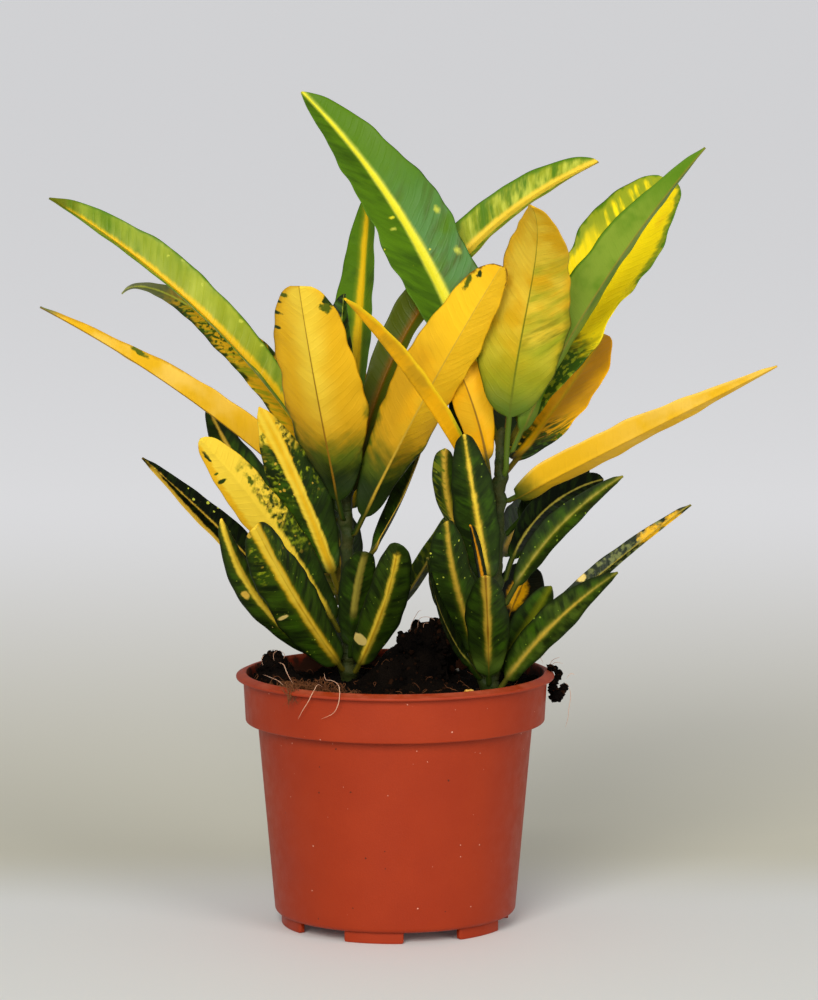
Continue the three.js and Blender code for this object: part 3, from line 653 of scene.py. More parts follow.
# one leaf's material: the ground colour, then each layer mixed in where its masks say
def leafFinish(name, leafLook, seed):
    material, tree = newMaterial("leaf_" + name)
    place = useGroup(tree, "leafPlace", seed=seed)
    colour = linear(hues[leafLook["ground"]])
    for index, (mask, hue, values) in enumerate(leafLook["layers"]):
        own = {key: value for key, value in values.items() if key in maskInputs[mask]}
        factor = useGroup(tree, mask, seed=seed + 3.7 * index, **own)["mask"]
        if "on" in values:
            stretch = dict(zip(maskInputs["span"], values["on"]))
            factor = factor * useGroup(tree, "span", seed=seed + 5.1 * index, **stretch)["mask"]
        if "half" in values:
            factor = factor * useGroup(tree, "half", sign=values["half"])["mask"]
        if "face" in values:
            factor = factor * (place["under"] if values["face"] else 1.0 - place["under"])
        colour = blend(factor, colour, linear(hues[hue]))
    petiole = ease(place["share"], *leafSurface["petioleEnd"]) * leafSurface["petioleShade"]
    colour = blend(petiole, colour, linear(hues[leafLook.get("petiole", "bottle")]))
    darker = field(tree, "ShaderNodeHueSaturation", {**leafSurface["darker"], "Color": colour})
    veins = useGroup(tree, "veins", seed=seed)["mask"] * leafSurface["veinShade"]
    shades = useGroup(tree, "clouds", seed=seed + 9)["mask"] * leafSurface["cloudShade"]
    colour = blend(shades, blend(veins, colour, darker), darker)
    wax = {"upper": leafSurface["upperRoughness"], "lower": leafSurface["lowerRoughness"]}
    roughness = useGroup(tree, "leafWax", seed=seed, **wax)["roughness"]
    relief = bump(useGroup(tree, "leafRelief", seed=seed)["height"], 0.5, leafSurface["reliefHeight"])
    setShader(tree, colour, roughness, {"Normal": relief, "IOR": leafLook.get("ior", leafSurface["ior"])})
    return material


stems = {
    "left": {"foot": (-18, 27, 90), "top": (-19, 22, 170), "radius": 3.2},
    "right": {"foot": (36, 2, 89), "top": (41, 2, 189), "radius": 3.4},
}
stemTaper = 0.35

# one row for each leaf, in the order of leafFields: height on the stem and lengths in millimetres, angles in
# degrees, widest in per cent of the blade
leafRows = {
    "left": [
        (168, 81, 63, 3, -5, 127, 21, 50, 0.6, 0.8, 10, -32, 24, 0, "lime"),
        (166, 138, 93, -102, -11, 75, 15, 50, 0.6, 0.5, 10, 3, 25, 0, "dark"),
        (164, 27, 82, -10, -62, 171, 21, 66, 0.6, 0.51, 10, 34, 35, 0, "lime"),
        (162, -167, 64, -39, -38, 166, 22, 62, 0.6, 0.86, 10, -36, 44, 0, "lime"),
        (159, 91, 45, 11, -6, 94, 27, 50, 0.6, 0.6, 10, -9, 22, 0, "gold"),
        (156, 170, 76, -64, -92, 176, 20, 22, 0.6, 2.2, 10, -58, 35, 0, "lime"),
        (153, -113, 64, 13, -9, 110, 35, 45, 0.6, 0.42, 10, -1, 20, 0, "gold"),
        (152, 178, 45, 22, -17, 144, 21, 22, 0.6, 1.4, 10, 33, 32, 0, "gold"),
        (150, 86, 44, -25, -16, 84, 24, 50, 0.6, 0.6, 10, 28, 22, 0, "lime"),
        (147, -44, 58, -2, -8, 134, 29, 50, 0.6, 0.45, 10, -35, 28, 0, "gold"),
        (141, 166, 25, -16, 40, 80, 16, 50, 0.6, 0.8, 10, -66, 25, 0, "dark"),
        (132, 16, 51, 26, 20, 63, 12, 45, 0.6, 1, 10, 0, 30, 0, "dark"),
        (124, -136, 66, 0, -10, 87, 22, 40, 0.6, 0.9, 10, 60, 20, 0, "dark"),
        (119, 145, 83, -18, -38, 20, 9, 50, 0.6, 0.6, 4, -44, 20, 0, "lime"),
        (114, 92, 40, 18, -12, 67, 22, 50, 0.6, 0.6, 10, -18, 22, 0, "dark"),
        (109, -140, 57, -1, -14, 105, 18, 55, 0.42, 0.5, 6, 64, 18, 0, "lime"),
        (104, -4, 41, -6, 30, 63, 14, 50, 0.6, 0.8, 10, -28, 8, 0, "dark"),
        (101, -174, 49, 0, -7, 108, 13, 50, 0.6, 1.1, 10, -71, 30, 0, "dark"),
        (99, -82, 72, 11, -23, 52, 15, 50, 0.42, 0.5, 6, -18, 20, 0, "dark"),
        (97, -147, 24, 33, 38, 93, 12, 50, 0.42, 0.8, 6, 62, 22, 0, "dark"),
        (96, 109, 25, 4, -8, 58, 20, 50, 0.6, 0.6, 10, -38, 22, 0, "dark"),
        (94, -119, 39, 9, 2, 101, 22, 50, 0.42, 0.42, 6, 59, 22, 0, "dark"),
        (93, -59, 48, -24, -2, 78, 17, 50, 0.42, 0.5, 6, -30, 20, 0, "dark"),
    ],
    "right": [
        (187, 128, 66, 25, -25, 164, 34, 50, 0.6, 0.75, 10, -34, 24, 1.2, "lime"),
        (184, 41, 55, -6, -9, 129, 36, 66, 0.6, 0.4, 10, 31, 22, 1.5, "gold"),
        (181, -8, 67, 2, -18, 139, 25, 42, 0.6, 1, 10, -41, 32, 0, "lime"),
        (178, 84, 33, -3, -2, 105, 28, 50, 0.6, 0.6, 10, 12, 22, 0, "gold"),
        (173, 58, 28, -17, 21, 81, 34, 46, 0.6, 0.47, 10, -2, 5, 0, "gold"),
        (172, -54, 91, -47, -75, 144, 34, 22, 0.6, 0.88, 24, -29, 20, 0, "gold"),
        (169, -165, 85, -49, -26, 61, 16, 50, 0.6, 0.6, 10, 95, 20, 0, "gold"),
        (166, 157, 72, -10, -10, 41, 12, 50, 0.6, 0.8, 10, -62, 25, 0, "dark"),
        (163, -14, 28, -6, -1, 118, 18, 25, 0.3, 1.2, 4, -40, 18, 0, "gold"),
        (159, -133, 54, 17, -25, 133, 13, 50, 0.6, 0.9, 10, -8, 33, 0, "gold"),
        (149, 39, 37, 0, -14, 50, 17, 45, 0.6, 0.8, 10, 62, 15, 0, "dark"),
        (138, 78, 17, -7, -10, 82, 18, 50, 0.6, 0.7, 10, 40, 22, 0, "dark"),
        (134, -164, 50, 81, 26, 58, 13, 55, 0.6, 0.5, 10, 8, 28, 0, "dark"),
        (131, 22, 78, -11, -67, 59, 15, 50, 0.6, 0.5, 10, 84, 28, 0, "dark"),
        (128, -116, 71, 12, -13, 71, 18, 40, 0.42, 0.6, 6, 25, 22, 0, "dark"),
        (122, -13, 65, 2, -33, 70, 12, 40, 0.6, 1.1, 10, 72, 24, 0, "dark"),
        (118, 91, 33, 21, -12, 65, 17, 50, 0.6, 0.7, 10, -26, 22, 0, "dark"),
        (114, -109, 73, 1, -23, 49, 7, 50, 0.6, 0.8, 6, -99, 10, 0, "gold"),
        (108, 93, 12, 7, 0, 104, 19, 50, 0.6, 0.7, 10, -8, 22, 0, "dark"),
        (105, 64, 44, 6, -15, 47, 20, 50, 0.42, 0.5, 6, 28, 15, 0, "dark"),
        (101, -127, 55, 32, 0, 72, 19, 50, 0.42, 0.5, 6, 42, 22, 0, "dark"),
        (100, 11, 43, 1, -9, 96, 9, 45, 0.6, 1, 10, 36, 30, 0, "dark"),
        (97, -17, 60, -15, -2, 40, 14, 50, 0.42, 0.6, 6, 97, 22, 0, "dark"),
        (96, -180, 66, 0, 21, 30, 10, 50, 0.6, 0.7, 10, -89, 15, 0, "dark"),
        (94, -136, 44, 40, 8, 71, 11, 50, 0.6, 0.9, 10, -76, 8, 0, "dark"),
        (92, -92, 55, -2, -15, 66, 18, 42, 0.42, 0.7, 6, 4, 20, 0, "dark"),
        (90, -33, 54, 1, -21, 72, 15, 45, 0.42, 1, 6, 87, 24, 0, "dark"),
    ],
}
leafFields = ("height", "heading", "rise", "swing", "droop", "length", "width", "widest", "base", "tip",
              "petiole", "roll", "fold", "wave", "kind")

# waves are (length in mm, height, shift between the two halves of the blade)
leafForm = {
    "petioleHalf": 1.1, "petioleThick": 2.0, "bladeThick": 0.5, "tipHalf": 0.3, "opening": 0.12, "cup": 1.2,
    "rootGap": 0.5, "rootSink": 1.8, "pathSteps": 240, "petioleRows": 6, "fewestRows": 28, "rowStep": 1.1,
    "columns": 13, "edgeShare": 0.6, "waves": 2.5, "ribKeel": 0.55, "ribGroove": 0.2, "ribWidth": 0.85,
    "veinSpacing": 3.8, "veinLift": 0.02, "phaseRange": 6.28,
    "ruffle": 0.3, "ruffleWaves": [(5.5, 1.0, 1.3), (2.9, 0.6, -2.0)],
    "edgeWaver": 0.044, "edgeWaves": [(8.1, 1.0, 2.1), (3.7, 0.6, -1.7), (1.9, 0.4, 1.0)],
}


# a point on a stem's axis, in a straight line from foot to top
def stemPoint(stem, z):
    foot, top = np.array(stem["foot"], float), np.array(stem["top"], float)
    share = (np.asarray(z, float) - foot[2]) / (top[2] - foot[2])
    return foot + (top - foot) * share[..., None]


def stemRadius(stem, z):
    share = np.clip((z - stem["foot"][2]) / (stem["top"][2] - stem["foot"][2]), 0, 1)
    return stem["radius"] * (1 - stemTaper * share)


# half width along the blade: a sine up to its widest place, a cosine from there to the tip
def bladeOutline(leaf, u):
    widest = leaf["widest"] / 100
    rising = np.sin(np.pi / 2 * np.clip(u / widest, 0, 1)) ** leaf["base"]
    falling = np.cos(np.pi / 2 * np.clip((u - widest) / (1 - widest), 0, 1)) ** leaf["tip"]
    share = np.where(u < widest, rising, falling)
    foot, tip = leafForm["petioleHalf"], leafForm["tipHalf"]
    return np.maximum(foot + (leaf["width"] / 2 - foot) * share - (foot - tip) * smooth(u, 0.94, 1), tip)


# the sum of some sines along the blade
def wavesAlong(waves, alongMm, v, phases):
    return sum(height * np.sin(alongMm / length + phase + shift * (v > 0))
               for (length, height, shift), phase in zip(waves, phases))


# a leaf as rings of points: the midrib starts beside the stem and turns evenly from its first heading and
# rise to its last; each ring goes over the upper face and back under the lower one
def leafShape(leaf, stem, seed):
    form = leafForm
    steep = abs(math.sin(math.radians(leaf["rise"])))
    outward = direction(leaf["heading"], 0)
    root = stemPoint(stem, leaf["height"]) + outward * (
        stemRadius(stem, leaf["height"]) + form["rootGap"] + form["petioleThick"] / 2 * steep)
    steps = form["pathSteps"]
    middle = (np.arange(steps) + 0.5) / steps
    way = direction(leaf["heading"] + leaf["swing"] * middle, leaf["rise"] + leaf["droop"] * middle)
    path = root + np.concatenate([np.zeros((1, 3)), np.cumsum(way, axis=0)]) * leaf["length"] / steps
    petiole = leaf["petiole"] / leaf["length"]
    bladeLength = leaf["length"] - leaf["petiole"]
    rows = max(form["fewestRows"], int(bladeLength / form["rowStep"]))
    alongBlade, below = np.linspace(0, 1, rows), form["petioleRows"]
    u = np.concatenate([np.zeros(below), alongBlade])
    share = np.concatenate([np.linspace(0, petiole, below + 1)[:below], petiole + (1 - petiole) * alongBlade])
    spine = np.stack([np.interp(share * steps, np.arange(steps + 1), path[:, k]) for k in range(3)], axis=1)
    spine[0] -= outward * form["rootSink"]
    heading, rise = leaf["heading"] + leaf["swing"] * share, leaf["rise"] + leaf["droop"] * share
    up, beside = direction(heading, rise + 90), direction(heading - 90, 0 * rise)
    roll = math.radians(leaf["roll"])
    normal = up * math.cos(roll) + beside * math.sin(roll)
    across = beside * math.cos(roll) - up * math.sin(roll)
    opened = smooth(u, 0, form["opening"])
    fold = math.radians(leaf["fold"]) * opened
    half = bladeOutline(leaf, u)
    t = np.linspace(0, 1, form["columns"])
    t = t * (1 - form["edgeShare"]) + form["edgeShare"] * t * t * (3 - 2 * t)
    upperSide = np.concatenate([-t[::-1], t[1:]])
    side = np.concatenate([upperSide, upperSide[-2:0:-1]])
    under = np.concatenate([np.zeros(len(upperSide)), np.ones(len(upperSide) - 2)])
    v, under = side[None, :], under[None, :]
    u, opened, fold, half = (value[:, None] for value in (u, opened, fold, half))
    acrossMm = half * v
    alongMm = u * bladeLength
    wave = leaf["wave"] * np.sin(2 * np.pi * form["waves"] * u) * np.maximum(np.sin(np.pi * u), 0) ** 0.7
    draw = np.random.RandomState(seed)
    phase = draw.uniform(0, form["phaseRange"], len(form["ruffleWaves"]))
    edgePhase = draw.uniform(0, form["phaseRange"], len(form["edgeWaves"]))
    ripple = wavesAlong(form["ruffleWaves"], alongMm, v, phase)
    ruffle = form["ruffle"] * leaf["width"] / 25 * ripple * np.abs(v) ** 4 * opened * np.sin(np.pi * u) ** 0.5
    lift = half * np.abs(v) ** form["cup"] * np.sin(fold) + wave * np.sign(v) * v * v + ruffle
    thick = form["petioleThick"] + (form["bladeThick"] - form["petioleThick"]) * opened
    rounded = (1 - np.abs(v) ** (2 + 10 * opened)) ** 0.5 * thick / 2
    ribShape = np.exp(-((acrossMm / form["ribWidth"]) ** 2)) * opened * (1 - 0.6 * u)
    reach = np.abs(acrossMm)
    vein = (alongMm - veinForm["slant"] * reach - veinForm["bend"] * reach**2) / form["veinSpacing"]
    quilt = form["veinLift"] * np.cos(2 * np.pi * vein) * smooth(reach, 0.5, 2) * smooth(half - reach, 0, 2)
    top = rounded - form["ribGroove"] * ribShape + quilt
    bottom = -rounded - form["ribKeel"] * ribShape + quilt
    offset = np.where(under > 0, bottom, top)
    swell = wavesAlong(form["edgeWaves"], alongMm, v, edgePhase)
    edge = 1 + form["edgeWaver"] * swell * v * v * opened * np.sin(np.pi * u) ** 0.5
    flat = acrossMm * edge * np.cos(fold)
    slopeAcross = -np.sin(fold) * np.sign(v) * smooth(np.abs(v), 0, 0.12)
    slopeNormal = np.cos(fold)
    points = (spine[:, None] + across[:, None] * (flat + offset * slopeAcross)[..., None]
              + normal[:, None] * (lift + offset * slopeNormal)[..., None])
    blade = np.stack(np.broadcast_arrays(u, v, under), axis=-1)
    size = np.stack(np.broadcast_arrays(alongMm, acrossMm, half), axis=-1)
    return points, blade, size


for sideName, rows in leafRows.items():
    for number, row in enumerate(rows, 1):
        name = f"{sideName}_{number:02d}"
        leaf = dict(zip(leafFields, row))
        seed = number + (100 if sideName == "right" else 0)
        points, blade, size = leafShape(leaf, stems[sideName], seed)
        marks = {"blade": withCaps(blade[None]), "size": withCaps(size[None])}
        makePiece("leafBlade_" + name, closedTubes(points[None]), leafFinish(name, looks[name], seed * 1.7),
                  "leaf_" + leaf["kind"], ["leaf_" + name], marks)
print("leaves made:", sum(len(rows) for rows in leafRows.values()))


stemForm = {"rings": 260, "sides": 40, "seed": 31, "sink": 10.0, "budHeight": 2.4, "bark": 0.22,
            "barkSize": 3.0, "shoulder": 1.1, "shoulderHeight": 2.2, "scar": 0.45, "scarAbove": 3.4,
            "scarHeight": 0.5}


# a stem as level rings up its leaning axis: bark ripples, a shoulder at each petiole and a scar line above it
def stemShape(stem, leaves):
    form = stemForm
    low, high = stem["foot"][2] - form["sink"], stem["top"][2]
    z = np.linspace(low, high + form["budHeight"], form["rings"])[:, None]
    angle = turns(form["sides"])[None, :]
    bark = roughness2d(angle * 0 + z, 3 * np.sin(angle), form["barkSize"], 3, form["seed"])
    radius = stemRadius(stem, z) + form["bark"] * bark
    for leaf in leaves:
        toward = 0.5 + 0.5 * np.cos(angle - math.radians(leaf["heading"]))
        above = z - leaf["height"]
        radius = radius + form["shoulder"] * np.exp(-((above / form["shoulderHeight"]) ** 2)) * toward**3
        line = np.exp(-(((above - form["scarAbove"]) / form["scarHeight"]) ** 2))
        radius = radius - form["scar"] * line * toward**2
    radius = radius * np.sqrt(1 - smooth(z, high, high + form["budHeight"] + 0.2) ** 2)
    return closedTubes((stemPoint(stem, z[:, 0])[:, None] + polar(radius, angle, 0.0))[None])


potForm = {
    "wall": 1.2, "footHeight": 4.4, "footRadius": 44.0, "footDepth": 2.5, "footCount": 6, "footArc": 30.5,
    "firstFoot": -101, "footSink": 0.8, "footRings": 26, "footSides": 32, "footSquare": 0.22,
    "baseRadius": 46.3, "bodyTopRadius": 52.9, "stepHeight": 78.6, "bandLowRadius": 57.5,
    "bandTopRadius": 58.4, "lipRadius": 61.1, "lipLow": 95.3, "lipDrop": 1.2, "rimHeight": 97.5,
    "middle": 0.5, "sectors": 240, "arcSteps": 6, "rowStep": 2.5,
}


# inner radius of the pot's wall at a height
def innerRadius(z):
    form = potForm
    if z > form["stepHeight"] + form["wall"]:
        return form["bandLowRadius"] - form["wall"]
    share = (z - form["footHeight"]) / (form["stepHeight"] - form["footHeight"])
    return form["baseRadius"] + (form["bodyTopRadius"] - form["baseRadius"]) * share - form["wall"]


# a profile of [radius, height, rounding] corners: each corner becomes an arc that touches both of its sides
def roundedProfile(corners, arcSteps, rowStep):
    points = [np.array(corners[0][:2], float)]
    for before, here, after in zip(corners, corners[1:], corners[2:]):
        p = np.array(here[:2], float)
        toward, away = np.array(before[:2], float) - p, np.array(after[:2], float) - p
        toward, away = toward / np.linalg.norm(toward), away / np.linalg.norm(away)
        halfAngle = math.acos(float(np.clip(toward @ away, -1, 1))) / 2
        start, end = p + toward * here[2] / math.tan(halfAngle), p + away * here[2] / math.tan(halfAngle)
        heart = p + (toward + away) / np.linalg.norm(toward + away) * here[2] / math.sin(halfAngle)
        turn = np.linspace(0, 1, arcSteps)[:, None]
        arc = start + (end - start) * turn - heart
        gap = math.ceil(np.linalg.norm(start - points[-1]) / rowStep)
        points += list(points[-1] + (start - points[-1]) * np.linspace(0, 1, gap + 1)[1:-1, None])
        points += list(heart + arc / np.linalg.norm(arc, axis=1, keepdims=True) * here[2])
    return np.array(points + [np.array(corners[-1][:2], float)])


# the pot's skin: the profile carried round the axis
def potShape():
    form = potForm
    floor, shelf = form["footHeight"] + form["wall"], form["stepHeight"] + form["wall"]
    corners = [
        (form["middle"], form["footHeight"], 0), (form["baseRadius"], form["footHeight"], 2.0),
        (form["bodyTopRadius"], form["stepHeight"], 0.5), (form["bandLowRadius"], form["stepHeight"], 0.7),
        (form["bandTopRadius"], form["lipLow"], 0.4), (form["lipRadius"], form["lipLow"], 0.35),
        (form["lipRadius"], form["rimHeight"] - form["lipDrop"], 0.35),
        (form["bandTopRadius"], form["rimHeight"], 0.5),
        (form["bandTopRadius"] - form["wall"], form["rimHeight"], 0.4),
        (innerRadius(shelf + 1), shelf, 0.5), (innerRadius(form["stepHeight"]), shelf, 0.6),
        (innerRadius(floor), floor, 1.0), (form["middle"], floor, 0),
    ]
    profile = roundedProfile(corners, form["arcSteps"], form["rowStep"])
    return closedTubes(polar(profile[:, :1], turns(form["sectors"]), profile[:, 1:])[None])


# the feet: a nearly square section carried along an arc, drawn in at both ends
def feetShape():
    form = potForm
    along = np.sin(np.linspace(-1, 1, form["footRings"]) * np.pi / 2)[None, :, None]
    middle = np.arange(form["footCount"])[:, None, None] * 360 / form["footCount"] + form["firstFoot"]
    angle = np.radians(middle + along * form["footArc"] / 2)
    turn = turns(form["footSides"])[None, None, :]
    drawn = (1 - np.abs(along) ** 40) ** 0.25
    squared = [boxed(part, form["footSquare"]) * drawn for part in (np.cos(turn), np.sin(turn))]
    tall = form["footHeight"] + form["footSink"]
    radius = form["footRadius"] - form["footDepth"] / 2 + squared[0] * form["footDepth"] / 2
    height = tall / 2 + squared[1] * tall / 2
    return closedTubes(polar(radius, angle, height))


soilForm = {
    "level": 90.5, "ripple": 0.7, "gap": 0.3, "rows": 150, "sectors": 300, "rough": 1.0, "roughSize": 7.0,
    "heaps": [(-45.5, 6, 14, 5.5), (-30, -36, 4, 9), (0, 15, 12, 6), (10, 12, 5, 11), (38, 30, 3, 10),
              (48, -14, 3, 6), (51, 12, 4, 5), (35, -2, -3, 11), (-18, 24, -2, 9)],
    "clodCentre": (12, 13, 98), "clodSize": (9.5, 8, 15), "clodSquare": 0.7, "clodCrumble": 0.1,
    "clodGrid": (90, 140), "rimGrid": (30, 44), "rimCrumble": 0.14, "lumpiness": 0.14, "middle": 0.004,
    "floorMiddle": 2.0,
    "rimLumps": [(59.8, 3, 98.1, 1.1), (61.5, 3, 97.8, 1.2), (62.9, 3, 96.3, 1.2), (62.6, 3, 94.6, 1.3),
                 (61.2, 3, 92.8, 1.7), (60.7, 3, 90, 1.8), (62, 3, 87.6, 2.6), (64, 3, 89, 1.5),
                 (65.2, 3, 90.6, 1.3)],
}


# height of the peat: the level, a bell-shaped rise for each heap, crossed ripples, and crumbly roughness
def soilHeight(x, y):
    form = soilForm
    total = form["level"] + 0 * x
    for heapX, heapY, height, spread in form["heaps"]:
        total = total + height * np.exp(-((x - heapX) ** 2 + (y - heapY) ** 2) / (2 * spread**2))
    ripple = np.sin(x * 0.55 + 1) * np.cos(y * 0.47) + np.sin(x * 0.31 - y * 0.62 + 2)
    return total + form["ripple"] * ripple + form["rough"] * roughness2d(x, y, form["roughSize"], 6, 11)


# places set on the peat's surface, or above it
def onPeat(places, above=0.0):
    x, y = places[..., 0], places[..., 1]
    return np.stack([x, y, soilHeight(x, y) + above], axis=-1)


# the filling: rings from the middle of the surface out to the wall, then down the wall and in along the floor
def soilShape():
    form = soilForm
    rim = innerRadius(potForm["rimHeight"]) - form["gap"]
    shelf = potForm["stepHeight"] + potForm["wall"] + form["gap"]
    floor = potForm["footHeight"] + potForm["wall"] + form["gap"]
    angle = turns(form["sectors"])[None, :]
    top = onPeat(polar((rim * np.linspace(form["middle"], 1, form["rows"]))[:, None], angle, 0.0))
    lower = [(rim, shelf), (innerRadius(potForm["stepHeight"]) - form["gap"], shelf),
             (innerRadius(floor) - form["gap"], floor), (form["floorMiddle"], floor)]
    return closedTubes(np.concatenate([top, *(polar(r, angle, z) for r, z in lower)])[None])


# how far a lump's surface moves in and out at unit directions p: crossed waves, then finer crumbs
def lumpWaves(p, centre, fine):
    x, y, z = p[..., 0], p[..., 1], p[..., 2]
    waves = np.sin(5 * x + 3 * z + centre[2]) * np.cos(4 * y - 2 * x)
    waves = waves + 0.6 * np.sin(7 * z + 4 * y + centre[0])
    crumbs = roughness2d(x + 3, y + 2 * z, 0.3, 4, 21) + roughness2d(z - 2, y + x, 0.3, 4, 22)
    return 1 + soilForm["lumpiness"] * waves + fine * crumbs


# points on a lump's surface in unit directions p; square below 1 pushes them towards the corners of its box
def onLump(p, centre, size, fine, square=1.0):
    return boxed(p, square) * lumpWaves(p, centre, fine)[..., None] * np.array(size) + np.array(centre)


# a lump as rings of latitude; form is what onLump takes
def lumpShape(rows, columns, *form):
    rise = np.linspace(-0.495, 0.495, rows)[:, None] * np.pi
    p = polar(np.cos(rise), turns(columns)[None, :], np.sin(rise))
    return closedTubes(onLump(p, *form)[None])


# twenty-sided crumbs, each turned, stretched and dented at random, and a shade for each point
def crumbShape(places, sizes, seed):
    draw = np.random.RandomState(seed)
    g = (1 + 5**0.5) / 2  # the golden ratio, for the corners of a twenty-sided solid
    corners = np.array([(-1, g, 0), (1, g, 0), (-1, -g, 0), (1, -g, 0), (0, -1, g), (0, 1, g), (0, -1, -g),
                        (0, 1, -g), (g, 0, -1), (g, 0, 1), (-g, 0, -1), (-g, 0, 1)]) / math.hypot(1, g)
    faces = np.array([(0, 11, 5), (0, 5, 1), (0, 1, 7), (0, 7, 10), (0, 10, 11), (1, 5, 9), (5, 11, 4),
                      (11, 10, 2), (10, 7, 6), (7, 1, 8), (3, 9, 4), (3, 4, 2), (3, 2, 6), (3, 6, 8),
                      (3, 8, 9), (4, 9, 5), (2, 4, 11), (6, 2, 10), (8, 6, 7), (9, 8, 1)])
    count = len(places)
    stretch = draw.uniform(0.55, 1.35, (count, 1, 3))
    dent = draw.uniform(0.75, 1.2, (count, 12, 1))
    axes, _ = np.linalg.qr(draw.normal(size=(count, 3, 3)))
    axes = axes * np.linalg.det(axes)[:, None, None]
    points = np.einsum("nij,nkj->nki", axes, corners[None] * stretch * dent) * sizes[:, None, None]
    shade = np.repeat(draw.uniform(0, 1, count), 12)
    starts = (np.arange(count) * 12)[:, None, None]
    return ((points + places[:, None]).reshape(-1, 3), [(faces[None] + starts).reshape(-1, 3)]), shade


# thin tubes along paths (tubes x steps x 3), thinner at both ends
def hairShape(paths, radii, sides=5):
    along = np.gradient(paths, axis=1)
    along /= np.linalg.norm(along, axis=-1, keepdims=True)
    aside = np.cross(along, np.array([0.31, 0.17, 0.93]))
    aside /= np.linalg.norm(aside, axis=-1, keepdims=True)
    third = np.cross(along, aside)
    turn = turns(sides)
    share = np.linspace(0, 1, paths.shape[1])[None, :, None]
    radius = radii[:, None, None] * (1 - 0.75 * np.abs(2 * share - 1) ** 3)
    sideways, upwards = (radius * np.cos(turn))[..., None], (radius * np.sin(turn))[..., None]
    return closedTubes(paths[:, :, None] + (aside[:, :, None] * sideways + third[:, :, None] * upwards))


# a smooth path of many steps through a few points (each step blends the two neighbouring parabolas)
def smoothPath(points, steps=40):
    p = np.array(points, float)
    p = np.concatenate([[2 * p[0] - p[1]], p, [2 * p[-1] - p[-2]]])
    place = np.linspace(0, len(p) - 3, steps)
    i = np.minimum(place.astype(int), len(p) - 4)
    t = (place - i)[:, None]
    a, b, c, d = (p[i + k] for k in range(4))
    return 0.5 * (2 * b + (c - a) * t + (2 * a - 5 * b + 4 * c - d) * t**2 + (3 * b - 3 * c + d - a) * t**3)


# roots that lie on the peat: each winds at random from its start and arches a little clear of the surface
def lyingRoots(starts, lengths, seed, arch=1.2, wind=2.4, steps=16):
    draw = np.random.RandomState(seed)
    count = len(starts)
    share = np.linspace(0, 1, steps)[None]
    swing = draw.uniform(-wind, wind, (count, 2, 1))
    heading = (draw.uniform(0, 2 * np.pi, (count, 1)) + swing[:, 0] * share
               + 0.6 * swing[:, 1] * np.sin(5 * share + swing[:, 0]))
    step = lengths[:, None] / steps
    x = starts[:, :1] + np.cumsum(np.cos(heading) * step, axis=1)
    y = starts[:, 1:2] + np.cumsum(np.sin(heading) * step, axis=1)
    reach = np.hypot(x, y)
    limit = innerRadius(potForm["rimHeight"]) - rootForm["rimGap"]
    x, y = x * np.minimum(1, limit / reach), y * np.minimum(1, limit / reach)
    lift = draw.uniform(0.2, 1, (count, 1)) * arch * np.sin(np.pi * share)
    return np.stack([x, y, soilHeight(x, y) + rootForm["above"] + lift], axis=-1)


# Object coordinates in millimetres, and the height
def placeMm(tree, entry):
    place = field(tree, "ShaderNodeTexCoord", output="Object")
    x, y, z = split(field(tree, "ShaderNodeVectorMath", {0: place, "Scale": 1000.0}, operation="SCALE"))
    return {"place": vector(x + entry["seed"], y, z), "height": z}


# soft clouds and dust specks on the surface, in millimetres; relief is for a bump
def dust(tree, entry):
    place = useGroup(tree, "placeMm", seed=entry["seed"])["place"]
    jag = noise(place, fineness["dustEdge"]) * 0.03
    return {"specks": cellSpots(place, entry, jag, -0.01, 0.02),
            "clouds": ease(noise(place, 1.0 / entry["cloud"], 4.0), -1.0, 1.0),
            "relief": noise(place, fineness["dustRelief"], 4.0)}


makeGroup("placeMm", {}, placeMm)
makeGroup("dust", {"cell": 9.0, "amount": 0.3, "radius": 0.05, "cloud": 20.0}, dust)

gloss = "Specular IOR Level"
# the dark brown tone is for peat dust specks, and on the inner wall for peat dust with painted shade
potLook = {"tones": {"ground": (155, 49, 14), "shade": (149, 45, 12), "pale": (226, 170, 146),
                     "dirtAndShade": (64, 34, 20), "rim": (176, 84, 58)},
           "roughness": 0.42, gloss: 0.2, "paintedRimHighlight": (95.4, 97.2), "inside": (57.7, 57.2),
           "aboveStep": (80.0, 81.0), "dustAndShadeFadeHeights": (92.0, 98.0)}  # heights and radii in millimetres
peatLook = {"ground": (20, 14, 9), "dark": (6, 4, 3), "brown": (58, 32, 16), "roughness": 0.82,
            gloss: 0.05}
rootLook = {"ground": (80, 42, 20), "pale": (126, 78, 44), "roughness": 0.6, "cloud": 3.0}
hairLook = {"ground": (206, 150, 118), "pale": (226, 186, 156), "roughness": 0.6, "cloud": 3.0}
barkLook = {"ground": (34, 50, 12), "pale": (56, 58, 20), "dark": (18, 26, 8), "roughness": 0.55,
            "cloud": 5.0}
gritLook = {"ground": (196, 192, 182), "pale": (150, 146, 136), "roughness": 0.8, "cloud": 1.0}
beadLook = {"ground": (224, 176, 84), "pale": (200, 132, 40), "roughness": 0.4, "cloud": 1.0}
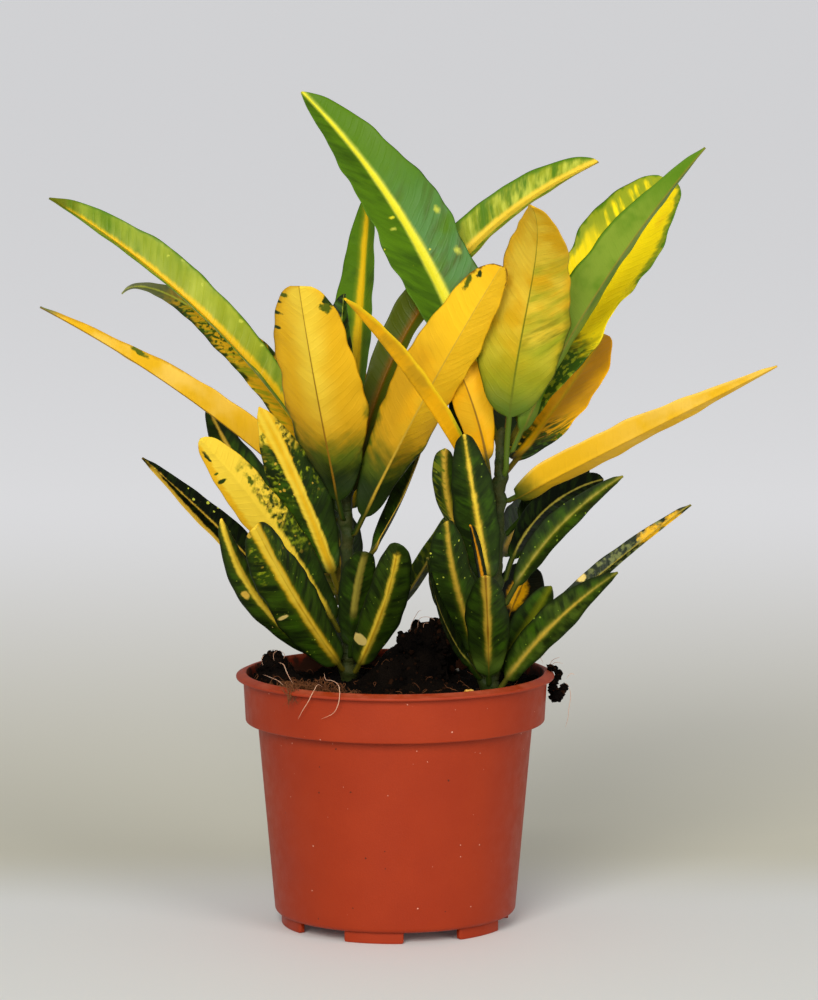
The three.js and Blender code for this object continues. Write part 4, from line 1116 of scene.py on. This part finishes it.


# satin plastic: faint clouds, light and dark specks, a pale rim that is a painted highlight, and peat dust
# with painted shade on the inner wall
def potFinish():
    material, tree = newMaterial("terracottaPlastic")
    light = useGroup(tree, "dust", cell=4.0, amount=0.4, radius=0.08)
    dark = useGroup(tree, "dust", seed=40.0, cell=6.0, amount=0.4, radius=0.07)
    fine = useGroup(tree, "dust", seed=90.0, cell=4.0, amount=0.24, radius=0.06, cloud=5.0)
    place = useGroup(tree, "placeMm")
    x, y, _ = split(place["place"])
    # painted highlight: the lip between 95.4 and 97.2 mm is painted in clouds towards the paler rim tone
    paintedRimHighlight = ease(place["height"], *potLook["paintedRimHighlight"]) * (fine["clouds"] * 0.8)
    reach = calc("SQRT", (x - potAxis[0] / mm) ** 2.0 + (y - potAxis[1] / mm) ** 2.0)
    # painted shade: above the step the inner wall is painted dark brown, partly peat dust and partly the
    # shade inside the pot; it fades in clouds towards the rim
    inner = ease(reach + fine["clouds"] * 0.4, *potLook["inside"])
    inner = inner * ease(place["height"], *potLook["aboveStep"])
    dustAndShadeFade = 1.0 - ease(place["height"], *potLook["dustAndShadeFadeHeights"]) * ease(fine["clouds"], 0.3, 0.8)
    colour = linear(potLook["tones"]["ground"])
    for factor, tone in ((light["clouds"], "shade"), (paintedRimHighlight, "rim"), (inner * dustAndShadeFade, "dirtAndShade"),
                         (light["specks"] * 0.85, "pale"), (fine["specks"] * 0.3, "pale"),
                         (dark["specks"] * 0.8, "dirtAndShade")):
        colour = blend(factor, colour, linear(potLook["tones"][tone]))
    rough = potLook["roughness"] + fine["clouds"] * 0.14
    setShader(tree, colour, rough, {"Normal": bump(fine["relief"], 0.25, 0.06), gloss: potLook[gloss]})
    return material


# crumbly peat: dark clouds, brown flecks; crumbs carry a shade of their own
def peatFinish():
    material, tree = newMaterial("peat")
    coarse = useGroup(tree, "dust", cell=3.0, amount=0.35, radius=0.2, cloud=7.0)
    fine = useGroup(tree, "dust", seed=30.0, cell=1.4, amount=0.3, radius=0.3, cloud=1.6)
    crumb = ease(attribute(tree, "shade", "Fac"), 0.6, 1.0)
    colour = blend(coarse["clouds"], linear(peatLook["dark"]), linear(peatLook["ground"]))
    for factor in (coarse["specks"] * 0.6, fine["specks"] * 0.4, crumb * 0.6):
        colour = blend(factor, colour, linear(peatLook["brown"]))
    rough = peatLook["roughness"] + fine["clouds"] * 0.16
    setShader(tree, colour, rough, {"Normal": bump(fine["relief"], 0.8, 0.5), gloss: peatLook[gloss]})
    return material


# two tones in clouds with a fine relief, for bark, roots and grit; dark adds specks
def mottledFinish(name, tones):
    material, tree = newMaterial(name)
    marks = useGroup(tree, "dust", cell=2.2, amount=0.4, radius=0.3, cloud=tones["cloud"])
    colour = blend(marks["clouds"], linear(tones["ground"]), linear(tones["pale"]))
    if "dark" in tones:
        colour = blend(marks["specks"] * 0.7, colour, linear(tones["dark"]))
    rough = tones["roughness"] + marks["clouds"] * 0.15
    setShader(tree, colour, rough, {"Normal": bump(marks["relief"], 0.5, 0.2), "IOR": 1.28})
    return material


bark = mottledFinish("bark", barkLook)
for sideName, stem in stems.items():
    leaves = [dict(zip(leafFields, row)) for row in leafRows[sideName]]
    makePiece("stemBark_" + sideName, stemShape(stem, leaves), bark, "stem", ["stem_" + sideName])
print("stems made")

plastic = potFinish()
makePiece("potSkin", potShape(), plastic, "pot_plastic", ["pot"])
makePiece("potFeet", feetShape(), plastic, "pot_plastic", ["pot"])
print("pot made")

peat = peatFinish()
clodForm = [soilForm[key] for key in ("clodCentre", "clodSize", "clodCrumble", "clodSquare")]
clod = lumpShape(*soilForm["clodGrid"], *clodForm)
rimClump = joinShapes([lumpShape(*soilForm["rimGrid"], (x, y, z), (size, size, size), soilForm["rimCrumble"])
                       for x, y, z, size in soilForm["rimLumps"]])
for name, shape, node in (("peatFilling", soilShape(), "soil"), ("peatClod", clod, "soil"),
                          ("rimClumpPeat", rimClump, "rim_clump")):
    makePiece(name, shape, peat, "soil", [node], {"shade": np.full(len(shape[0]), 0.3)})


# random places on a disc, as many to each area
def discPlaces(draw, count, radius):
    reach = radius * np.sqrt(draw.uniform(0, 1, count))
    return polar(reach, draw.uniform(0, 2 * np.pi, count), 0.0)


def unitDraws(draw, count):
    p = draw.normal(size=(count, 3))
    return p / np.linalg.norm(p, axis=1, keepdims=True)


crumbForm = {
    "onSoil": 900, "onClod": 420, "onRim": 110, "inHeap": 220, "small": 0.45, "large": 1.5, "reach": 54,
    "heap": (-45.5, 6), "heapSpread": (4.0, 4.5), "clodSizes": (0.5, 1.7), "rimSizes": (0.3, 0.9),
    "perlite": [(35.5, -30.3, 1.9), (-5.3, -52.0, 0.9), (17, -36, 0.8), (-12, -46, 0.7), (44, -20, 0.9),
                (-48, -12, 0.8), (24, 30, 1.2), (-6, 44, 1.0)],  # across, depth and radius
    "perliteRise": 0.6, "bead": (27.6, -47.5, 96.6), "beadSize": (1.9, 1.3, 1.2), "beadGrid": (20, 28),
}
draw = np.random.RandomState(5)
onSurface = discPlaces(draw, crumbForm["onSoil"], crumbForm["reach"])[:, :2]
inHeap = draw.normal(crumbForm["heap"], crumbForm["heapSpread"], (crumbForm["inHeap"], 2))
inHeap *= np.minimum(1, crumbForm["reach"] / np.hypot(*inHeap.T))[:, None]
onSoil = onPeat(np.concatenate([onSurface, inHeap]))
small, large = crumbForm["small"], crumbForm["large"]
soilSizes = small + (large - small) * draw.uniform(0, 1, len(onSoil)) ** 3
onClod = onLump(unitDraws(draw, crumbForm["onClod"]), *clodForm)
clodSizes = draw.uniform(*crumbForm["clodSizes"], len(onClod))
lumps = np.array(soilForm["rimLumps"])[draw.randint(0, len(soilForm["rimLumps"]), crumbForm["onRim"])]
onRim = lumps[:, :3] + unitDraws(draw, len(lumps)) * lumps[:, 3:]
rimSizes = draw.uniform(*crumbForm["rimSizes"], len(onRim))
for name, places, sizes, node in (("peatCrumbs", onSoil, soilSizes, "soil"),
                                  ("clodCrumbs", onClod, clodSizes, "soil"),
                                  ("rimCrumbs", onRim, rimSizes, "rim_clump")):
    shape, shade = crumbShape(places, sizes, 7)
    makePiece(name, shape, peat, "soil", [node], {"shade": shade})
print("peat made, crumbs:", len(onSoil) + len(onClod) + len(onRim))

grit = mottledFinish("paleGrit", gritLook)
bits = np.array(crumbForm["perlite"])
bitPlaces = onPeat(bits, crumbForm["perliteRise"])
makePiece("perliteBits", crumbShape(bitPlaces, bits[:, 2], 9)[0], grit, "soil")
amber = mottledFinish("feedBead", beadLook)
bead = lumpShape(*crumbForm["beadGrid"], crumbForm["bead"], crumbForm["beadSize"], 0.0)
makePiece("feedBead", bead, amber, "soil")

rootForm = {
    "tangle": 340, "tangleTurn": (-134, 14), "tangleReach": (48, 4), "tangleLengths": (4, 14),
    "tangleArch": 5.5, "tangleWind": 4.4, "rimGap": 0.8, "above": 0.15,
    "scattered": 60, "scatterReach": 53, "scatterLengths": (3, 10), "thin": 0.05, "thick": 0.14,
    "tuft": 26, "tuftSpread": (1.8, 0.5, 0.8), "longHair": 0.15, "fineHair": 0.09,
    "tuftRoute": [(-35, -41, 98), (-38, -44.8, 99.4), (-39, -46.6, 96.6), (-38.4, -47.6, 92.4)],
}
roots = mottledFinish("rootFibre", rootLook)
hairFinish = mottledFinish("paleHair", hairLook)
count = rootForm["tangle"]
turn = np.radians(draw.normal(*rootForm["tangleTurn"], count))
reach = draw.normal(*rootForm["tangleReach"], count)
lengths = draw.uniform(*rootForm["tangleLengths"], count)
tangle = lyingRoots(polar(reach, turn, 0.0), lengths, 12, rootForm["tangleArch"], rootForm["tangleWind"])
scattered = discPlaces(draw, rootForm["scattered"], rootForm["scatterReach"])
scattered = lyingRoots(scattered, draw.uniform(*rootForm["scatterLengths"], len(scattered)), 13)
sway = draw.normal(size=(rootForm["tuft"], 4, 3)) * rootForm["tuftSpread"]
tuft = np.stack([smoothPath(route, 16) for route in sway + np.array(rootForm["tuftRoute"])])
paths = np.concatenate([tangle, scattered, tuft])
radii = draw.uniform(rootForm["thin"], rootForm["thick"], len(paths))
makePiece("rootTangle", hairShape(paths, radii), roots, "soil")

# long hairs, each through a few points: two hang over the band, the others stand off the peat, clod and rim
hairRoutes = {
    "overBandLong": [(-26.7, -42.3, 103.2), (-25.9, -46.3, 101.3), (-23.5, -50.8, 101.6), (-21.3, -55, 100.8),
                     (-20.6, -58.4, 98.6), (-21.1, -57.4, 94), (-23.1, -55.4, 90), (-27.7, -52.4, 87.3)],
    "overBandShort": [(-27, -44, 98), (-28.8, -49.2, 99.8), (-30.2, -53.4, 98.4), (-32.4, -51.8, 93.9),
                      (-34.3, -49.8, 90.6), (-36.4, -47.2, 86.4)],
    "leftLow": [(-50.4, -10, 97.6), (-47.6, -18, 97.8), (-44.4, -24, 97.4), (-42, -28, 96)],
    "leftHigh": [(-44.3, -12.4, 102.6), (-42.4, -17, 102.4), (-40.9, -21, 99.6), (-38.3, -27, 96)],
    "heapFirst": [(-50, 4, 97), (-51.4, 3, 101), (-50.4, 3, 103.4)],
    "heapSecond": [(-46, 2, 99), (-46.8, 1, 103.6), (-45, 0, 105.6)],
    "heapThird": [(-44, 5, 99), (-42.6, 4, 103), (-44.2, 3, 105)],
    "clodFirst": [(5.5, 13, 110), (6.4, 13, 114), (8.8, 13, 118.4), (10.2, 12.6, 119.2)],
    "clodSecond": [(8.6, 12, 109), (9, 12, 115), (10.6, 12, 116.6), (13.6, 12.4, 116.4), (16, 12.6, 114.4),
                   (15.8, 12.8, 111)],
    "clodThird": [(12, 13, 108), (11, 12, 113.6), (13.6, 11.4, 114.6)],
    "rimHang": [(65.4, 3, 92.6), (67, 2.8, 90.6), (67.6, 2.6, 87), (66.9, 2.6, 82), (66.6, 2.8, 78.6),
                (65.6, 3, 74.9)],
    "rimFirst": [(59.2, 2, 99), (60.6, 1.6, 101.4), (63.4, 1.6, 102.6)],
    "rimSecond": [(60, 3, 99), (61.8, 2.4, 100.4), (64.6, 2, 100)],
    "rimThird": [(57, 3, 100), (56, 2, 102.6), (57.6, 1.6, 103.6)],
    "rimFourth": [(66, 3, 94), (67.6, 2.4, 96), (69.2, 2, 95.6)],
}
hairs = np.stack([smoothPath(route) for route in hairRoutes.values()])
longOnes = [name.startswith(("over", "left")) for name in hairRoutes]
thickness = np.where(longOnes, rootForm["longHair"], rootForm["fineHair"])
makePiece("longHairs", hairShape(hairs, thickness, 6), hairFinish, "soil")
print("roots made:", len(radii) + len(hairs))


stageForm = {
    "near": (233, 234, 230), "shade": (214, 210, 188), "far": (216, 216, 217), "glow": (172, 172, 174),
    "toShade": (0.0, 0.13), "toFar": (0.2, 1.4), "toGlow": (-0.3, 1.5), "roughness": 0.7, "size": 1500.0,
}


# a plain pale floor that reaches the horizon: warm near the pot, behind it lit like a studio's backdrop
def makeFloor():
    form = stageForm
    mesh = bpy.data.meshes.new("floor")
    s = form["size"]
    mesh.from_pydata([(-s, -s, 0), (s, -s, 0), (s, s, 0), (-s, s, 0)], [], [(0, 1, 2, 3)])
    floor = bpy.data.objects.new("floor", mesh)
    bpy.context.scene.collection.objects.link(floor)
    material, tree = newMaterial("paleFloor")
    y = split(field(tree, "ShaderNodeTexCoord", output="Object"))[1]
    colour = blend(ease(y, *form["toShade"]), linear(form["near"]), linear(form["shade"]))
    colour = blend(ease(y, *form["toFar"]), colour, linear(form["far"]))
    glow = blend(ease(y, *form["toGlow"]), (0.0, 0.0, 0.0, 1.0), linear(form["glow"]))
    setShader(tree, colour, form["roughness"], {"Emission Color": glow, "Emission Strength": 1.0})
    mesh.materials.append(material)
    floor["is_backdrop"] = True


# lights as (place, size, power, colour), in metres; all look at the aim
lightForm = {"keyLight": ((-0.5, -1.95, 1.1), 1.1, 35.0, (1.0, 0.985, 0.96)),
             "fillLight": ((1.2, -1.5, 0.8), 1.1, 14.0, (1.0, 1.0, 1.0))}
skyForm = {"aim": (0.0, 0.0, 0.17), "colour": (0.98, 0.99, 1.0, 1.0), "strength": 0.31}


def addLight(name, place, size, power, colour):
    light = bpy.data.lights.new(name, "AREA")
    light.shape = "DISK"
    light.size = size
    light.energy = power
    light.color = colour
    lamp = bpy.data.objects.new(name, light)
    lamp.location = place
    x, y, z = np.array(skyForm["aim"]) - np.array(place)
    tilt = math.acos(z / math.hypot(x, y, z)) - math.pi
    lamp.rotation_euler = (tilt, 0, math.atan2(y, x) + math.pi / 2)
    bpy.context.scene.collection.objects.link(lamp)


makeFloor()
for name, settings in lightForm.items():
    addLight(name, *settings)
world = bpy.data.worlds.new("studio")
world.use_nodes = True
wire(world.node_tree.nodes["Background"], {"Color": skyForm["colour"], "Strength": skyForm["strength"]})
bpy.context.scene.world = world
bpy.context.scene.view_settings.view_transform = "Standard"

cameraForm = {"distance": 1.68, "height": 0.355, "tiltDown": 6.5, "photoHeight": 1000, "focalPixels": 4418,
              "axisOffset": 14, "sensor": 36.0}
lens = bpy.data.cameras.new("camera")
lens.sensor_width = cameraForm["sensor"]
lens.lens = cameraForm["sensor"] * cameraForm["focalPixels"] / cameraForm["photoHeight"]
lens.clip_end = 4000.0
camera = bpy.data.objects.new("camera", lens)
camera.location = (potAxis[0], potAxis[1] - cameraForm["distance"], cameraForm["height"])
camera.rotation_euler = (math.radians(90 - cameraForm["tiltDown"]), 0,
                         -math.atan(cameraForm["axisOffset"] / cameraForm["focalPixels"]))
bpy.context.scene.collection.objects.link(camera)
bpy.context.scene.camera = camera
print("stage, lights and camera made")

sizes = [[list(corner) for corner in box] for box in (cadBox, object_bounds())]
